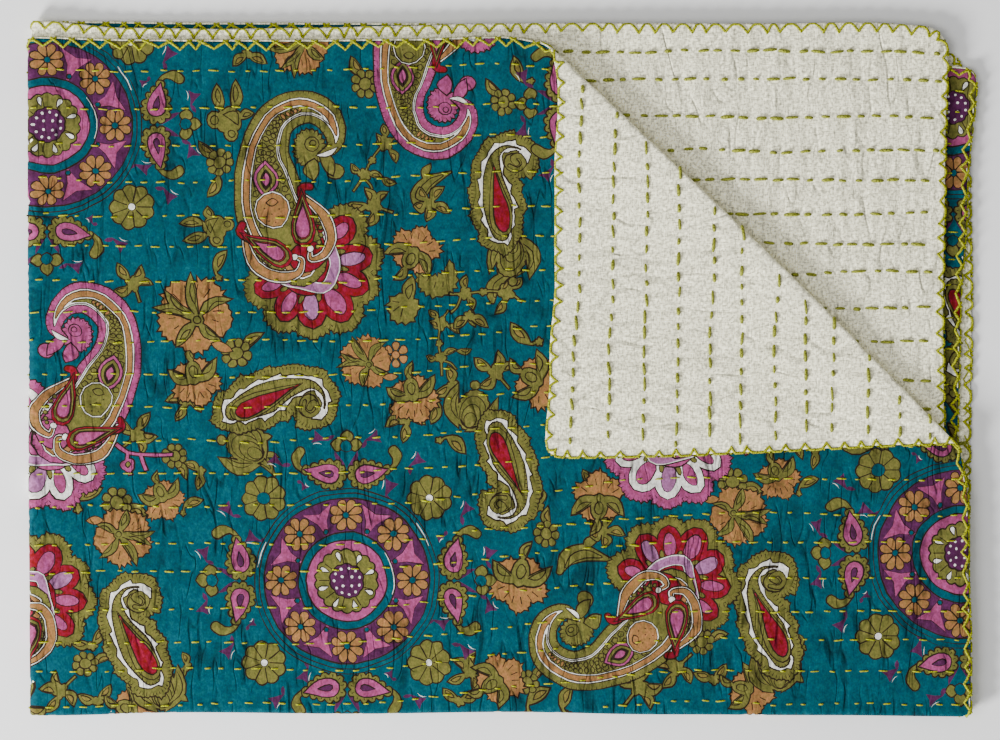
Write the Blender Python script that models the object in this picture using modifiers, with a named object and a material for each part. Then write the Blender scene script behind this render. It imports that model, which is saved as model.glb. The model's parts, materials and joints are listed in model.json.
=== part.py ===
"""A kantha quilt folded in quarters, with one corner of the top layer turned back.

A printed face cloth and a plain back cloth, each one solid, follow the same folds.
The quilt is first folded in half at the bottom edge, face outside, then in half at
the left edge. Metres, +X across, +Y up the folded quilt, +Z up off the surface.
"""

import math
from collections import namedtuple

import bmesh
import bpy
from mathutils import Vector

# Driving sizes
CLOTH = 0.0010  # thickness of each cloth
CLOTH_GAP = 0.00032  # air between the two cloths
BACK_LIP = 0.0012  # how far the back cloth stands out past the face cloth all round
LAYER_PITCH = 0.0038  # from one quilt layer to the next in the stack
CORNER_ROUND = 0.014  # how much of each corner is rounded off

# The grid that each cloth is made on
CELLS_ACROSS = 12  # from the left fold to an edge
CELLS_UP = 9  # from the bottom fold to an edge
FOLD_CELLS = 6  # round each fold
CORNER_SEGMENTS = 3

# The turned-back corner of the top layer
TURN_ANGLE = math.radians(45.87)  # of the line at right angles to the crease, above +X
TURN_REACH = 0.7745  # from the meeting of the two folds to the crease, along that line
TURN_START = -0.079  # where the crease starts, along it from the foot of that line
TURN_LENGTH = 0.522  # from there to its lower right end
TURN_ZONE = 0.0120  # width of cloth that the crease rolls through
TURN_RADIUS_START = 0.0042  # roll at the crease's upper left end
TURN_RADIUS_END = 0.0030  # roll at its lower right end
TURN_BOW = 0.0040  # how far the crease bows out towards the corner
TURN_BOW_WIDTH = 0.060
TURN_LIFT = 0.0030  # how far the roll holds the top layer up off the one below
TURN_LIFT_WIDTH = 0.045
FLAP_HEIGHT = 0.0036  # of the flap above the top layer where it has settled
FLAP_SETTLE = 0.090  # distance from the crease over which it settles

# How far each layer reaches from the folds, at even steps: right, up from the bottom
# fold, and top, across from the left fold.
Reach = namedtuple("Reach", "right top")
LAYERS = {
    "first": Reach(
        right=(0.8735, 0.8715, 0.8700, 0.8660, 0.8660, 0.8660),
        top=(0.6240, 0.6255, 0.6235, 0.6250, 0.6290, 0.6370),
    ),
    "second": Reach(
        right=(0.8735, 0.8560, 0.8490, 0.8480, 0.8500, 0.8530),
        top=(0.6440, 0.6390, 0.6400, 0.6420, 0.6410, 0.6430),
    ),
    "third": Reach(
        right=(0.8680, 0.8640, 0.8615, 0.8640, 0.8705, 0.8800),
        top=(0.6440, 0.6425, 0.6420, 0.6320, 0.6150, 0.6010),
    ),
    "fourth": Reach(
        right=(0.8680, 0.8720, 0.8735, 0.8755, 0.8740, 0.8650),
        top=(0.6240, 0.6250, 0.6220, 0.6200, 0.6180, 0.6150),
    ),
}

# Slight waves in the line of each fold: how far in from straight, at even steps.
LEFT_WAVE = (-0.0020, -0.0025, -0.0035, -0.0032, -0.0042, -0.0043, -0.0045)
BOTTOM_WAVE = (-0.0030, 0.0000, -0.0014, 0.0003, -0.0020, -0.0027, -0.0040)
WAVE_FADE = 0.12  # distance in from the fold over which they die out

# Soft swells that the whole stack takes up, growing from nothing at the underside.
Swell = namedtuple("Swell", "height length_across length_up phase")
SWELLS = (
    Swell(height=0.0016, length_across=0.46, length_up=0.90, phase=0.4),
    Swell(height=0.0012, length_across=-0.70, length_up=0.38, phase=2.1),
)

Cloth = namedtuple("Cloth", "name low high lip colour roughness")
CLOTHS = (
    Cloth("face_cloth", CLOTH_GAP / 2, CLOTH_GAP / 2 + CLOTH, 0.0, "#0E6675", 0.85),
    Cloth("back_cloth", -CLOTH_GAP / 2 - CLOTH, -CLOTH_GAP / 2, BACK_LIP, "#D8D5C6", 0.9),
)

# Worked out from the sizes above
INNER_RADIUS = LAYER_PITCH / 2  # of the quilt's middle at the bottom fold
OUTER_RADIUS = LAYER_PITCH  # of the folded pair's middle at the left fold
BOTTOM_ZONE = math.pi / 2 * INNER_RADIUS
LEFT_ZONE = math.pi / 2 * OUTER_RADIUS
HALF_QUILT = CLOTH + CLOTH_GAP / 2
STACK_HALF = OUTER_RADIUS + INNER_RADIUS + HALF_QUILT
FULL_ACROSS = max(max(layer.right) for layer in LAYERS.values())
FULL_UP = max(max(layer.top) for layer in LAYERS.values())


def clear_scene():
    for item in list(bpy.data.objects):
        bpy.data.objects.remove(item, do_unlink=True)


def along(table, share):
    """The value at this share of the way along a table of even steps, smoothly."""
    place = min(max(share, 0.0), 1.0) * (len(table) - 1)
    step = min(int(place), len(table) - 2)
    blend = 0.5 - 0.5 * math.cos(math.pi * (place - step))
    return table[step] * (1 - blend) + table[step + 1] * blend


def eased(share):
    """0 to 1 with a soft start and end."""
    share = min(max(share, 0.0), 1.0)
    return share * share * (3 - 2 * share)


def layer_at(across, up):
    """The layer that this quarter of the flat quilt becomes."""
    if across >= 0:
        return LAYERS["first"] if up >= 0 else LAYERS["second"]
    return LAYERS["fourth"] if up >= 0 else LAYERS["third"]


def grid_share(place, cells):
    """A grid place from -1 to 1 as (share from fold to edge, share round the fold)."""
    total = 2 * cells + FOLD_CELLS
    steps = place * total / 2
    round_fold = FOLD_CELLS / 2
    turned = min(max(steps / round_fold, -1.0), 1.0)
    outside = max(abs(steps) - round_fold, 0.0) / cells
    return outside, turned


def flat_place(co, lip):
    """Where a grid vertex lies on the quilt spread flat, from the meeting of the folds."""
    across, turn_across = grid_share(co.x, CELLS_ACROSS)
    up, turn_up = grid_share(co.y, CELLS_UP)
    layer = layer_at(co.x, co.y)
    reach_across = LEFT_ZONE + across * (along(layer.right, up) + lip)
    reach_up = BOTTOM_ZONE + up * (along(layer.top, across) + lip)
    x = math.copysign(reach_across, co.x) if across > 0 else turn_across * LEFT_ZONE
    y = math.copysign(reach_up, co.y) if up > 0 else turn_up * BOTTOM_ZONE
    return Vector((x, y, 0.0))


def turn_direction():
    return Vector((math.cos(TURN_ANGLE), math.sin(TURN_ANGLE), 0.0))


def cut_turn_lines(bm):
    """Edges where the corner rolls over, and one where the flap has settled."""
    across = turn_direction()
    start = Vector((LEFT_ZONE, BOTTOM_ZONE, 0.0)) + across * TURN_REACH
    steps = [TURN_ZONE * step / FOLD_CELLS for step in range(FOLD_CELLS + 1)]
    steps += [TURN_ZONE + FLAP_SETTLE / 3, -FLAP_SETTLE / 3]
    for step in steps:
        bmesh.ops.bisect_plane(
            bm,
            geom=bm.verts[:] + bm.edges[:] + bm.faces[:],
            dist=0.00005,
            plane_co=start + across * step,
            plane_no=across,
        )


def round_corners(bm):
    corners = [vert for vert in bm.verts if len(vert.link_edges) == 2]
    bmesh.ops.bevel(
        bm,
        geom=corners,
        offset=CORNER_ROUND,
        segments=CORNER_SEGMENTS,
        profile=0.5,
        affect="VERTICES",
    )


def flat_panel(cloth):
    """The cloth spread flat, with edges where it will fold."""
    bm = bmesh.new()
    bmesh.ops.create_grid(
        bm,
        x_segments=2 * CELLS_ACROSS + FOLD_CELLS,
        y_segments=2 * CELLS_UP + FOLD_CELLS,
        size=1.0,
    )
    for vert in bm.verts:
        vert.co = flat_place(vert.co, cloth.lip)
    round_corners(bm)
    cut_turn_lines(bm)
    bmesh.ops.triangulate(bm, faces=bm.faces[:])
    mesh = bpy.data.meshes.new(cloth.name)
    bm.to_mesh(mesh)
    bm.free()
    return mesh


def thickened(cloth, mesh):
    """The flat cloth as an object with its real thickness."""
    panel = bpy.data.objects.new(cloth.name, mesh)
    collection = bpy.data.collections.new(cloth.name)
    bpy.context.scene.collection.children.link(collection)
    collection.objects.link(panel)
    for vert in mesh.vertices:
        vert.co.z = cloth.low
    solidify = panel.modifiers.new("thickness", "SOLIDIFY")
    solidify.thickness = cloth.high - cloth.low
    solidify.offset = 1.0
    bpy.context.view_layer.update()
    shape = panel.evaluated_get(bpy.context.evaluated_depsgraph_get())
    solid = bpy.data.meshes.new_from_object(shape)
    panel.modifiers.clear()
    panel.data = solid
    solid.name = cloth.name
    bpy.data.meshes.remove(mesh)
    return panel


def bottom_fold(up, height):
    """Round the bottom fold: (distance from it, height off the pair's middle)."""
    radius = INNER_RADIUS + height
    if abs(up) <= BOTTOM_ZONE:
        angle = up / INNER_RADIUS
        return -radius * math.cos(angle), radius * math.sin(angle)
    return abs(up) - BOTTOM_ZONE, math.copysign(radius, up)


def left_fold(across, height):
    """Round the left fold: (distance from it, height off the stack's middle)."""
    radius = OUTER_RADIUS + height
    if abs(across) <= LEFT_ZONE:
        angle = across / OUTER_RADIUS
        return -radius * math.cos(angle), radius * math.sin(angle)
    return abs(across) - LEFT_ZONE, math.copysign(radius, across)


def turn_corner(x, y, height):
    """Rolls the top layer over its crease: (x, y, height above the layer's middle)."""
    across = turn_direction()
    past = x * across.x + y * across.y - TURN_REACH
    run = (x * across.y - y * across.x - TURN_START) / TURN_LENGTH
    radius = TURN_RADIUS_START + (TURN_RADIUS_END - TURN_RADIUS_START) * eased(run)
    if past <= 0:
        new_past, rise = past, height
    elif past < TURN_ZONE:
        angle = math.pi * past / TURN_ZONE
        new_past = (radius - height) * math.sin(angle)
        rise = radius - (radius - height) * math.cos(angle)
    else:
        new_past = TURN_ZONE - past
        settled = eased(-new_past / FLAP_SETTLE)
        rise = 2 * radius + (FLAP_HEIGHT - 2 * radius) * settled - height
    near = math.exp(-((new_past / TURN_BOW_WIDTH) ** 2))
    bow = TURN_BOW * near * math.sin(math.pi * min(max(run, 0.0), 1.0))
    lifted = math.exp(-((min(new_past, 0.0) / TURN_LIFT_WIDTH) ** 2))
    rise += TURN_LIFT * lifted * eased(1.15 - run)
    move = new_past - past + bow
    return x + across.x * move, y + across.y * move, rise


def swell(x, y):
    """How much the top of the stack swells here, never less than nothing."""
    total = 0.0
    for wave in SWELLS:
        angle = 2 * math.pi * (x / wave.length_across + y / wave.length_up) + wave.phase
        total += wave.height * (0.5 + 0.5 * math.sin(angle))
    return total


def folded(co):
    """A place on the thick flat cloth, carried to where it lies in the folded quilt."""
    y, pair_height = bottom_fold(co.y, co.z)
    x, stack_height = left_fold(co.x, pair_height)
    if co.x > LEFT_ZONE and co.y > BOTTOM_ZONE:
        middle = OUTER_RADIUS + INNER_RADIUS
        x, y, rise = turn_corner(x, y, co.z)
        stack_height = middle + rise
    z = stack_height + STACK_HALF
    z += swell(x, y) * min(z / (2 * STACK_HALF), 1.0)
    inward_x = along(LEFT_WAVE, y / FULL_UP) * math.exp(-max(x, 0.0) / WAVE_FADE)
    inward_y = along(BOTTOM_WAVE, x / FULL_ACROSS) * math.exp(-max(y, 0.0) / WAVE_FADE)
    return Vector((x + inward_x, y + inward_y, z))


def linear(channel):
    value = channel / 255
    if value <= 0.04045:
        return value / 12.92
    return ((value + 0.055) / 1.055) ** 2.4


def dress(panel, cloth):
    """The cloth's own material."""
    material = bpy.data.materials.new(cloth.name)
    material.use_nodes = True
    shader = material.node_tree.nodes["Principled BSDF"]
    code = cloth.colour.lstrip("#")
    channels = [linear(int(code[place : place + 2], 16)) for place in (0, 2, 4)]
    shader.inputs["Base Color"].default_value = (*channels, 1.0)
    shader.inputs["Roughness"].default_value = cloth.roughness
    shader.inputs["Metallic"].default_value = 0.0
    panel.data.materials.append(material)


def centre(panels):
    """Moves the quilt so that its box is centred over the origin and rests on z = 0."""
    places = [vert.co for panel in panels for vert in panel.data.vertices]
    low = Vector(min(co[axis] for co in places) for axis in range(3))
    high = Vector(max(co[axis] for co in places) for axis in range(3))
    shift = Vector((-(low.x + high.x) / 2, -(low.y + high.y) / 2, -low.z))
    for panel in panels:
        for vert in panel.data.vertices:
            vert.co += shift


def main():
    clear_scene()
    panels = []
    for cloth in CLOTHS:
        panel = thickened(cloth, flat_panel(cloth))
        for vert in panel.data.vertices:
            vert.co = folded(vert.co)
        dress(panel, cloth)
        panels.append(panel)
    centre(panels)


main()
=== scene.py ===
import json
import math
from collections import namedtuple

import bpy
import numpy as np
from bpy.props import FloatProperty, FloatVectorProperty, PointerProperty
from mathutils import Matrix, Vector
from mathutils.geometry import delaunay_2d_cdt

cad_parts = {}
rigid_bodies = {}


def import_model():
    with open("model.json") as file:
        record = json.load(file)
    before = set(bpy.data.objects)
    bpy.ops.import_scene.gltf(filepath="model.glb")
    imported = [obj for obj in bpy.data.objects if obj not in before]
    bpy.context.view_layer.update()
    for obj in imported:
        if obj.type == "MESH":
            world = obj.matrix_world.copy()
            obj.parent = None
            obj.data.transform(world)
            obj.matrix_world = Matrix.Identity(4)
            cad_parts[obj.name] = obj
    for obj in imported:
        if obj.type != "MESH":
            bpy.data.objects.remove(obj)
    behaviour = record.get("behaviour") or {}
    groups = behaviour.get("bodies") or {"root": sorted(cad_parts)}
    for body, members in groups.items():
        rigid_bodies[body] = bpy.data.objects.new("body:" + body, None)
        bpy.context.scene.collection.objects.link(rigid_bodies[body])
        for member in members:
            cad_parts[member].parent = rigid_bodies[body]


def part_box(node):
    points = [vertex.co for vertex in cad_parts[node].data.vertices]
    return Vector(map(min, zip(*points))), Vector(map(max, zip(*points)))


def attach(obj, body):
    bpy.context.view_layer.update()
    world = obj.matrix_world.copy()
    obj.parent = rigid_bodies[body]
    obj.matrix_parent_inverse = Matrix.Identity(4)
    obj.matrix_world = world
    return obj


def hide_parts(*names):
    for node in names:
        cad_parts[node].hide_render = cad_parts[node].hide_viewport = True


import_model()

bl_info = {
    "name": "Kantha Quilt",
    "version": (1, 0, 0),
    "blender": (4, 5, 0),
    "location": "3D View > Sidebar > Quilt",
    "description": "A folded kantha quilt: printed face cloth, plain back cloth and threads",
    "category": "Object",
}

# ---------------------------------------------------------------- sizes, in metres

CLOTH = 0.0010  # thickness of each cloth
CLOTH_GAP = 0.00032  # air between the two cloths
HALF_QUILT = CLOTH + CLOTH_GAP / 2  # from the quilt's middle to a cloth's outer surface
BACK_LIP = 0.0016  # how far the back cloth shows past the face cloth
LAYER_PITCH = 0.0038  # from one quilt layer to the next in the stack
PAIR_RADIUS = LAYER_PITCH / 2  # of the quilt's middle round the bottom fold
STACK_RADIUS = LAYER_PITCH  # of the folded pair's middle round the left fold
PAIR_ZONE = math.pi / 2 * PAIR_RADIUS  # half the width of cloth in the bottom fold
STACK_ZONE = math.pi / 2 * STACK_RADIUS  # half the width of cloth in the left fold
STACK_HALF = STACK_RADIUS + PAIR_RADIUS + HALF_QUILT  # half the height of the stack
CORNER_ROUND = 0.014  # how much of each corner is rounded off
FULL_ACROSS = 0.880  # the quilt's reach from the left fold
FULL_UP = 0.644  # the quilt's reach from the bottom fold

# The turned-back corner of the top layer
TURN_ANGLE = math.radians(45.87)  # of the line at right angles to the crease, above +X
TURN_ACROSS = np.array((math.cos(TURN_ANGLE), math.sin(TURN_ANGLE)))
TURN_REACH = 0.7745  # from where the folds meet to the crease, along that line
TURN_START = -0.079  # where the crease starts, along it from the foot of that line
TURN_LENGTH = 0.522  # from there to its lower right end
TURN_ZONE = 0.0120  # width of cloth that the crease rolls through
TURN_SQUARE = 0.55  # 1 rolls the crease round, less presses it to an edge
TURN_RADIUS_START = 0.0042  # roll at the crease's upper left end
TURN_RADIUS_END = 0.0030  # roll at its lower right end
TURN_BOW = 0.0040  # how far the crease bows out towards the corner
TURN_BOW_WIDTH = 0.060  # distance from the crease over which the bow dies out
TURN_LIFT = 0.0030  # how far the roll holds the top layer up off the one below
TURN_LIFT_WIDTH = 0.045  # distance from the crease over which the lift dies out
FLAP_HEIGHT = 0.0036  # of the flap above the top layer where it has settled
FLAP_SETTLE = 0.090  # distance from the crease over which it settles

# Where the layers below the top one are open to view
SHOWN_ACROSS = 0.84  # the third layer's print shows past this far across
SHOWN_EDGE = 0.85  # the fourth layer's plain cloth shows past this far across
SHOWN_UP = 0.60  # the second layer shows past this far up
UNDER_FLAP = 0.05  # it also shows from this far before the crease

# How far each layer reaches from the folds, at even steps: right is its right edge, from
# the bottom fold up, and top its top edge, from the left fold across. round is how much
# of its corner is rounded off.
Reach = namedtuple("Reach", "right top round", defaults=(CORNER_ROUND,))
LAYERS = {
    "first": Reach(
        right=(
            0.8735, 0.8735, 0.8715, 0.8710, 0.8630, 0.8635, 0.8645, 0.8655, 0.8665, 0.8660, 0.8650,
        ),
        top=(
            0.6290, 0.6265, 0.6260, 0.6260, 0.6270, 0.6290, 0.6150, 0.6205, 0.6225, 0.6300, 0.6370,
        ),
    ),
    "second": Reach(
        right=(0.8735, 0.8560, 0.8490, 0.8480, 0.8500, 0.8530),
        top=(
            0.6440, 0.6375, 0.6365, 0.6375, 0.6395, 0.6415, 0.6420, 0.6415, 0.6415, 0.6425, 0.6390,
        ),
        round=0.024,
    ),
    "third": Reach(
        right=(0.8680, 0.8640, 0.8615, 0.8640, 0.8705, 0.8800),
        top=(0.6440, 0.6425, 0.6420, 0.6320, 0.6150, 0.6010),
    ),
    "fourth": Reach(
        right=(0.8680, 0.8720, 0.8735, 0.8755, 0.8740, 0.8650),
        top=(0.6240, 0.6250, 0.6220, 0.6200, 0.6180, 0.6150),
    ),
}
# Which side of the flat quilt each layer is a quarter of: across and up.
QUARTERS = {"first": (1, 1), "fourth": (-1, 1), "third": (-1, -1), "second": (1, -1)}

# Slight waves in the line of each fold: how far in from straight, at even steps, and
# below zero how far out.
LEFT_WAVE = (-0.0020, -0.0025, -0.0035, -0.0032, -0.0042, -0.0043, -0.0045)
BOTTOM_WAVE = (-0.0030, 0.0000, -0.0014, 0.0003, -0.0020, -0.0027, -0.0040)
WAVE_FADE = 0.12  # distance in from the fold over which they die out

# Soft swells that the whole stack takes up, growing from nothing at the underside.
Swell = namedtuple("Swell", "height length_across length_up phase")
SWELLS = (
    Swell(height=0.0016, length_across=0.46, length_up=0.90, phase=0.4),
    Swell(height=0.0012, length_across=-0.70, length_up=0.38, phase=2.1),
)

# Rows of running stitch, measured up from the bottom fold, on each half of the quilt.
UPPER_ROWS = (
    -0.024, 0.006, 0.037, 0.063, 0.095, 0.129, 0.156, 0.190, 0.221, 0.252, 0.283,
    0.312, 0.345, 0.372, 0.401, 0.434, 0.462, 0.495, 0.529, 0.563, 0.598,
)
LOWER_ROWS = (
    0.018, 0.047, 0.078, 0.108, 0.139, 0.168, 0.199, 0.230, 0.258, 0.283,
    0.308, 0.344, 0.376, 0.409, 0.436, 0.464, 0.496, 0.524, 0.556, 0.590, 0.618,
)
ROW_STRAY = 0.0024  # how far a row wanders off straight
ROW_CLIMB = 0.032  # how far the upper half's lowest rows climb towards its right end
ROW_SPAN = {1: 0.625, -1: 0.642}  # from the bottom fold to a half's top edge

# How the cloth puffs between the rows: humps across and up the quilt, and how much each
# wanders with the others.
Gather = namedtuple("Gather", "height across up wander")
GATHERS = (
    Gather(height=0.00042, across=0.021, up=0.055, wander=0.004),
    Gather(height=0.00020, across=0.0105, up=0.034, wander=0.004),
    Gather(height=0.00045, across=0.060, up=0.045, wander=0.0),
)
ROW_DRAW = 0.00045  # how far a row of stitches draws the cloth in
ROW_DRAW_WIDTH = 0.0065  # and how far that reaches to each side of the row


# ---------------------------------------------------------------- folding


def along(table, share):
    """The value at each share of the way along a table of even steps, smoothly."""
    table = np.asarray(table)
    place = np.clip(share, 0, 1) * (len(table) - 1)
    step = np.minimum(place.astype(int), len(table) - 2)
    blend = 0.5 - 0.5 * np.cos(np.pi * (place - step))
    return table[step] * (1 - blend) + table[step + 1] * blend


def eased(share):
    """A share from 0 to 1, slow to start and slow to end."""
    share = np.clip(share, 0, 1)
    return share * share * (3 - 2 * share)


def round_fold(distance, height, radius):
    """Round a fold: (distance from it, height off the middle of what is folded)."""
    angle = np.clip(distance / radius, -np.pi / 2, np.pi / 2)
    beyond = np.maximum(np.abs(distance) - np.pi / 2 * radius, 0)
    return beyond - (radius + height) * np.cos(angle), (radius + height) * np.sin(angle)


def past_crease(x, y):
    """How far a place on the top layer is past its diagonal crease."""
    return x * TURN_ACROSS[0] + y * TURN_ACROSS[1] - TURN_REACH


def pressed(share):
    """A sine or cosine of the crease's turn, squared off as a pressed crease is."""
    return np.sign(share) * np.abs(share) ** TURN_SQUARE


def turn_corner(x, y, height):
    """Rolls the top layer over its crease: (x, y, height above the layer's middle)."""
    past = past_crease(x, y)
    run = (x * TURN_ACROSS[1] - y * TURN_ACROSS[0] - TURN_START) / TURN_LENGTH
    radius = TURN_RADIUS_START + (TURN_RADIUS_END - TURN_RADIUS_START) * eased(run)
    angle = np.pi * np.clip(past / TURN_ZONE, 0, 1)
    beyond = np.maximum(past - TURN_ZONE, 0)
    new_past = np.minimum(past, 0) - beyond + (radius - height) * pressed(np.sin(angle))
    settled = eased(beyond / FLAP_SETTLE)
    rise = radius - (radius - height) * pressed(np.cos(angle))
    rise += (FLAP_HEIGHT - 2 * radius) * settled
    near = np.exp(-((new_past / TURN_BOW_WIDTH) ** 2))
    bow = TURN_BOW * near * np.sin(np.pi * np.clip(run, 0, 1))
    lifted = np.exp(-((np.minimum(new_past, 0) / TURN_LIFT_WIDTH) ** 2))
    rise += TURN_LIFT * lifted * eased(1.15 - run)
    move = new_past - past + bow
    return x + TURN_ACROSS[0] * move, y + TURN_ACROSS[1] * move, rise


def swell(x, y):
    """The height of the soft swells at each place."""
    total = np.zeros_like(x)
    for wave in SWELLS:
        angle = 2 * np.pi * (x / wave.length_across + y / wave.length_up) + wave.phase
        total += wave.height * (0.5 + 0.5 * np.sin(angle))
    return total


def folds_meet():
    """Where the left and bottom folds meet, in the frame."""
    lows = [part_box(node)[0] for node in ("face_cloth", "back_cloth")]
    left, bottom = min(low.x for low in lows), min(low.y for low in lows)
    return left + STACK_HALF, bottom + PAIR_RADIUS + HALF_QUILT


FOLDS_MEET = folds_meet()


def folded(flat, height):
    """Places on the flat quilt, each off its middle by height, where they lie folded."""
    u, v = flat[:, 0], flat[:, 1]
    y, pair = round_fold(v, height, PAIR_RADIUS)
    x, stack = round_fold(u, pair, STACK_RADIUS)
    first = (u > STACK_ZONE) & (v > PAIR_ZONE)
    turned_x, turned_y, rise = turn_corner(x, y, height)
    x = np.where(first, turned_x, x)
    y = np.where(first, turned_y, y)
    stack = np.where(first, STACK_RADIUS + PAIR_RADIUS + rise, stack)
    z = stack + STACK_HALF
    z = z + swell(x, y) * np.minimum(z / (2 * STACK_HALF), 1)
    fade_x, fade_y = (np.exp(-np.maximum(way, 0) / WAVE_FADE) for way in (x, y))
    inward_x = along(LEFT_WAVE, y / FULL_UP) * fade_x
    inward_y = along(BOTTOM_WAVE, x / FULL_ACROSS) * fade_y
    x, y = x + inward_x + FOLDS_MEET[0], y + inward_y + FOLDS_MEET[1]
    return np.stack((x, y, z), axis=1)


# ---------------------------------------------------------------- rows and gathers


def scrambled(number):
    """From -1 to 1: it looks random, but the same number always gives the same."""
    value = np.sin(number) * 43758.5453
    return 2 * (value - np.floor(value)) - 1


def random_field(x, y, seed):
    """Smooth random heights from -1 to 1, about one unit from hump to hollow."""
    cell_x, cell_y = np.floor(x), np.floor(y)
    share_x, share_y = eased(x - cell_x), eased(y - cell_y)

    def corner(step_x, step_y):
        return scrambled((cell_x + step_x) * 127.1 + (cell_y + step_y) * 311.7 + seed * 74.7)

    low = corner(0, 0) * (1 - share_x) + corner(1, 0) * share_x
    high = corner(0, 1) * (1 - share_x) + corner(1, 1) * share_x
    return low * (1 - share_y) + high * share_y


def sunk_edge(half, u):
    """How far a half's top edge is off its straight line, at each u."""
    share = np.abs(u) / FULL_ACROSS
    right, left = ("first", "fourth") if half > 0 else ("second", "third")
    top = np.where(u >= 0, along(LAYERS[right].top, share), along(LAYERS[left].top, share))
    return top - ROW_SPAN[half]


def row_climb(row, half, u):
    """How far a row lies above its place at the left, at each u."""
    if half < 0:
        return np.zeros_like(u)
    below_edge = np.sqrt(np.clip(1 - row / ROW_SPAN[half], 0, 2))
    return ROW_CLIMB * eased((u - 0.25) / 0.4) * below_edge


def row_line(row, half, u):
    """The v of a row of running stitch at each u: the top rows follow the edge."""
    stray = random_field(u / 0.07, np.full_like(u, row * 531.0), 5) * ROW_STRAY
    sunk = sunk_edge(half, u) * (row / ROW_SPAN[half]) ** 3
    return half * (PAIR_ZONE + row + row_climb(row, half, u) + sunk + stray)


def off_row(flat):
    """Distance of each place from the nearest row of running stitch."""
    u, v = flat[:, 0], flat[:, 1]
    nearest = np.full_like(v, 1.0)
    for half, rows in ((1, UPPER_ROWS), (-1, LOWER_ROWS)):
        up = np.abs(v) - PAIR_ZONE
        up = up - sunk_edge(half, u) * (up / ROW_SPAN[half]) ** 3
        risen = up
        for _ in range(3):
            up = risen - row_climb(up, half, u)
        rows = np.array(rows)
        above = np.clip(np.searchsorted(rows, up), 1, len(rows) - 1)
        gap = np.minimum(np.abs(up - rows[above - 1]), np.abs(up - rows[above]))
        nearest = np.where(np.sign(v) == half, gap, nearest)
    return nearest


def away_from_folds(flat):
    """0 on a fold, rising to 1 about 15 millimetres from it."""
    from_left = eased((np.abs(flat[:, 0]) - STACK_ZONE * 0.6) / 0.012)
    from_bottom = eased((np.abs(flat[:, 1]) - PAIR_ZONE * 0.6) / 0.010)
    return from_left * from_bottom


def on_show(flat):
    """1 on the parts of the quilt that lie open to view, 0.25 inside the stack."""
    u, v = flat[:, 0], flat[:, 1]
    x, y = np.abs(u) - STACK_ZONE, np.abs(v) - PAIR_ZONE
    shown = (u > 0) & (v > 0)
    shown |= (u > 0) & (v < 0) & ((past_crease(x, y) > -UNDER_FLAP) | (y > SHOWN_UP))
    return np.where(shown, 1.0, 0.25)


def gathers(flat):
    """How far the whole quilt is pushed up by its gathers, which cross the rows."""
    u, v = flat[:, 0], flat[:, 1]
    aside = random_field(u / 0.03, v / 0.05, 1)
    height = 0
    for seed, gather in enumerate(GATHERS, 2):
        across = (u + gather.wander * aside) / gather.across
        height = height + gather.height * random_field(across, v / gather.up, seed)
    return height * away_from_folds(flat) * on_show(flat)


def puffed(flat, side):
    """Height of a cloth's outer surface off the quilt's middle, drawn in at the rows."""
    drawn = ROW_DRAW * np.exp(-((off_row(flat) / ROW_DRAW_WIDTH) ** 2))
    return side * (HALF_QUILT - drawn * away_from_folds(flat)) + gathers(flat)


# ---------------------------------------------------------------- shapes on flat cloth


def layer_edge(name, step):
    """A quarter's right and top edges, from the bottom fold round to the left fold."""
    layer = LAYERS[name]
    up = np.linspace(0, 1, max(int(FULL_UP / step), 4))
    right = STACK_ZONE + along(layer.right, up)
    right = right + 1j * (PAIR_ZONE + up * layer.top[-1])
    across = np.linspace(1, 0, max(int(FULL_ACROSS / step), 4))
    top = STACK_ZONE + across * layer.right[-1]
    top = top + 1j * (PAIR_ZONE + along(layer.top, across))
    corner = right[-1]
    right = right[np.abs(right - corner) > layer.round]
    top = top[np.abs(top - corner) > layer.round]
    share = np.linspace(0, 1, 6)[1:-1]
    arc = (1 - share) ** 2 * right[-1] + share**2 * top[0]
    arc = arc + 2 * share * (1 - share) * corner
    return np.concatenate((right, arc, top))


EDGE_STEP = 0.004  # from one point of the cut edge to the next


def cloth_edge(step, lip=0.0):
    """The whole flat cloth's outline as complex numbers, counter-clockwise.

    The lip is how much more of the plain cloth shows along the top and bottom edges.
    """
    parts = []
    for name, (side_u, side_v) in QUARTERS.items():
        edge = layer_edge(name, step)
        edge = side_u * edge.real + 1j * side_v * edge.imag
        parts.append(edge if side_u * side_v > 0 else edge[::-1])
    outline = np.concatenate(parts)
    keep = np.abs(outline - np.roll(outline, 1)) > step * 0.2
    outline = outline[keep]
    return outline.real + 1j * grown(outline, lip).imag


def area_of(shape):
    """A closed shape's area, below zero where it runs clockwise."""
    ahead = np.roll(shape, -1)
    return 0.5 * np.sum(shape.real * ahead.imag - ahead.real * shape.imag)


def grown(shape, by):
    """A closed shape with its edge moved outwards."""
    ahead = np.roll(shape, -1) - shape
    ahead = ahead / np.maximum(np.abs(ahead), 1e-9)
    bisector = ahead + np.roll(ahead, 1)
    size = np.abs(bisector)
    outward = -1j * bisector / np.maximum(size, 0.5)
    stretch = 2 / np.maximum(size, 1.1)
    turn = 1 if area_of(shape) > 0 else -1
    return shape + turn * by * outward * np.where(size > 0.5, stretch, 1.3)


def smooth(points, count):
    """A curve through all the points, as count places or values."""
    points = np.asarray(points)
    t = np.linspace(0, len(points) - 1, count)
    i = np.minimum(t.astype(int), len(points) - 2)
    f = t - i
    before, here = points[np.maximum(i - 1, 0)], points[i]
    there, after = points[i + 1], points[np.minimum(i + 2, len(points) - 1)]
    return 0.5 * (
        2 * here
        + (there - before) * f
        + (2 * before - 5 * here + 4 * there - after) * f**2
        + (3 * here - before - 3 * there + after) * f**3
    )


def as_pairs(places):
    """Places given as complex numbers, as rows of across and up."""
    return np.stack((places.real, places.imag), axis=1)


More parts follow.
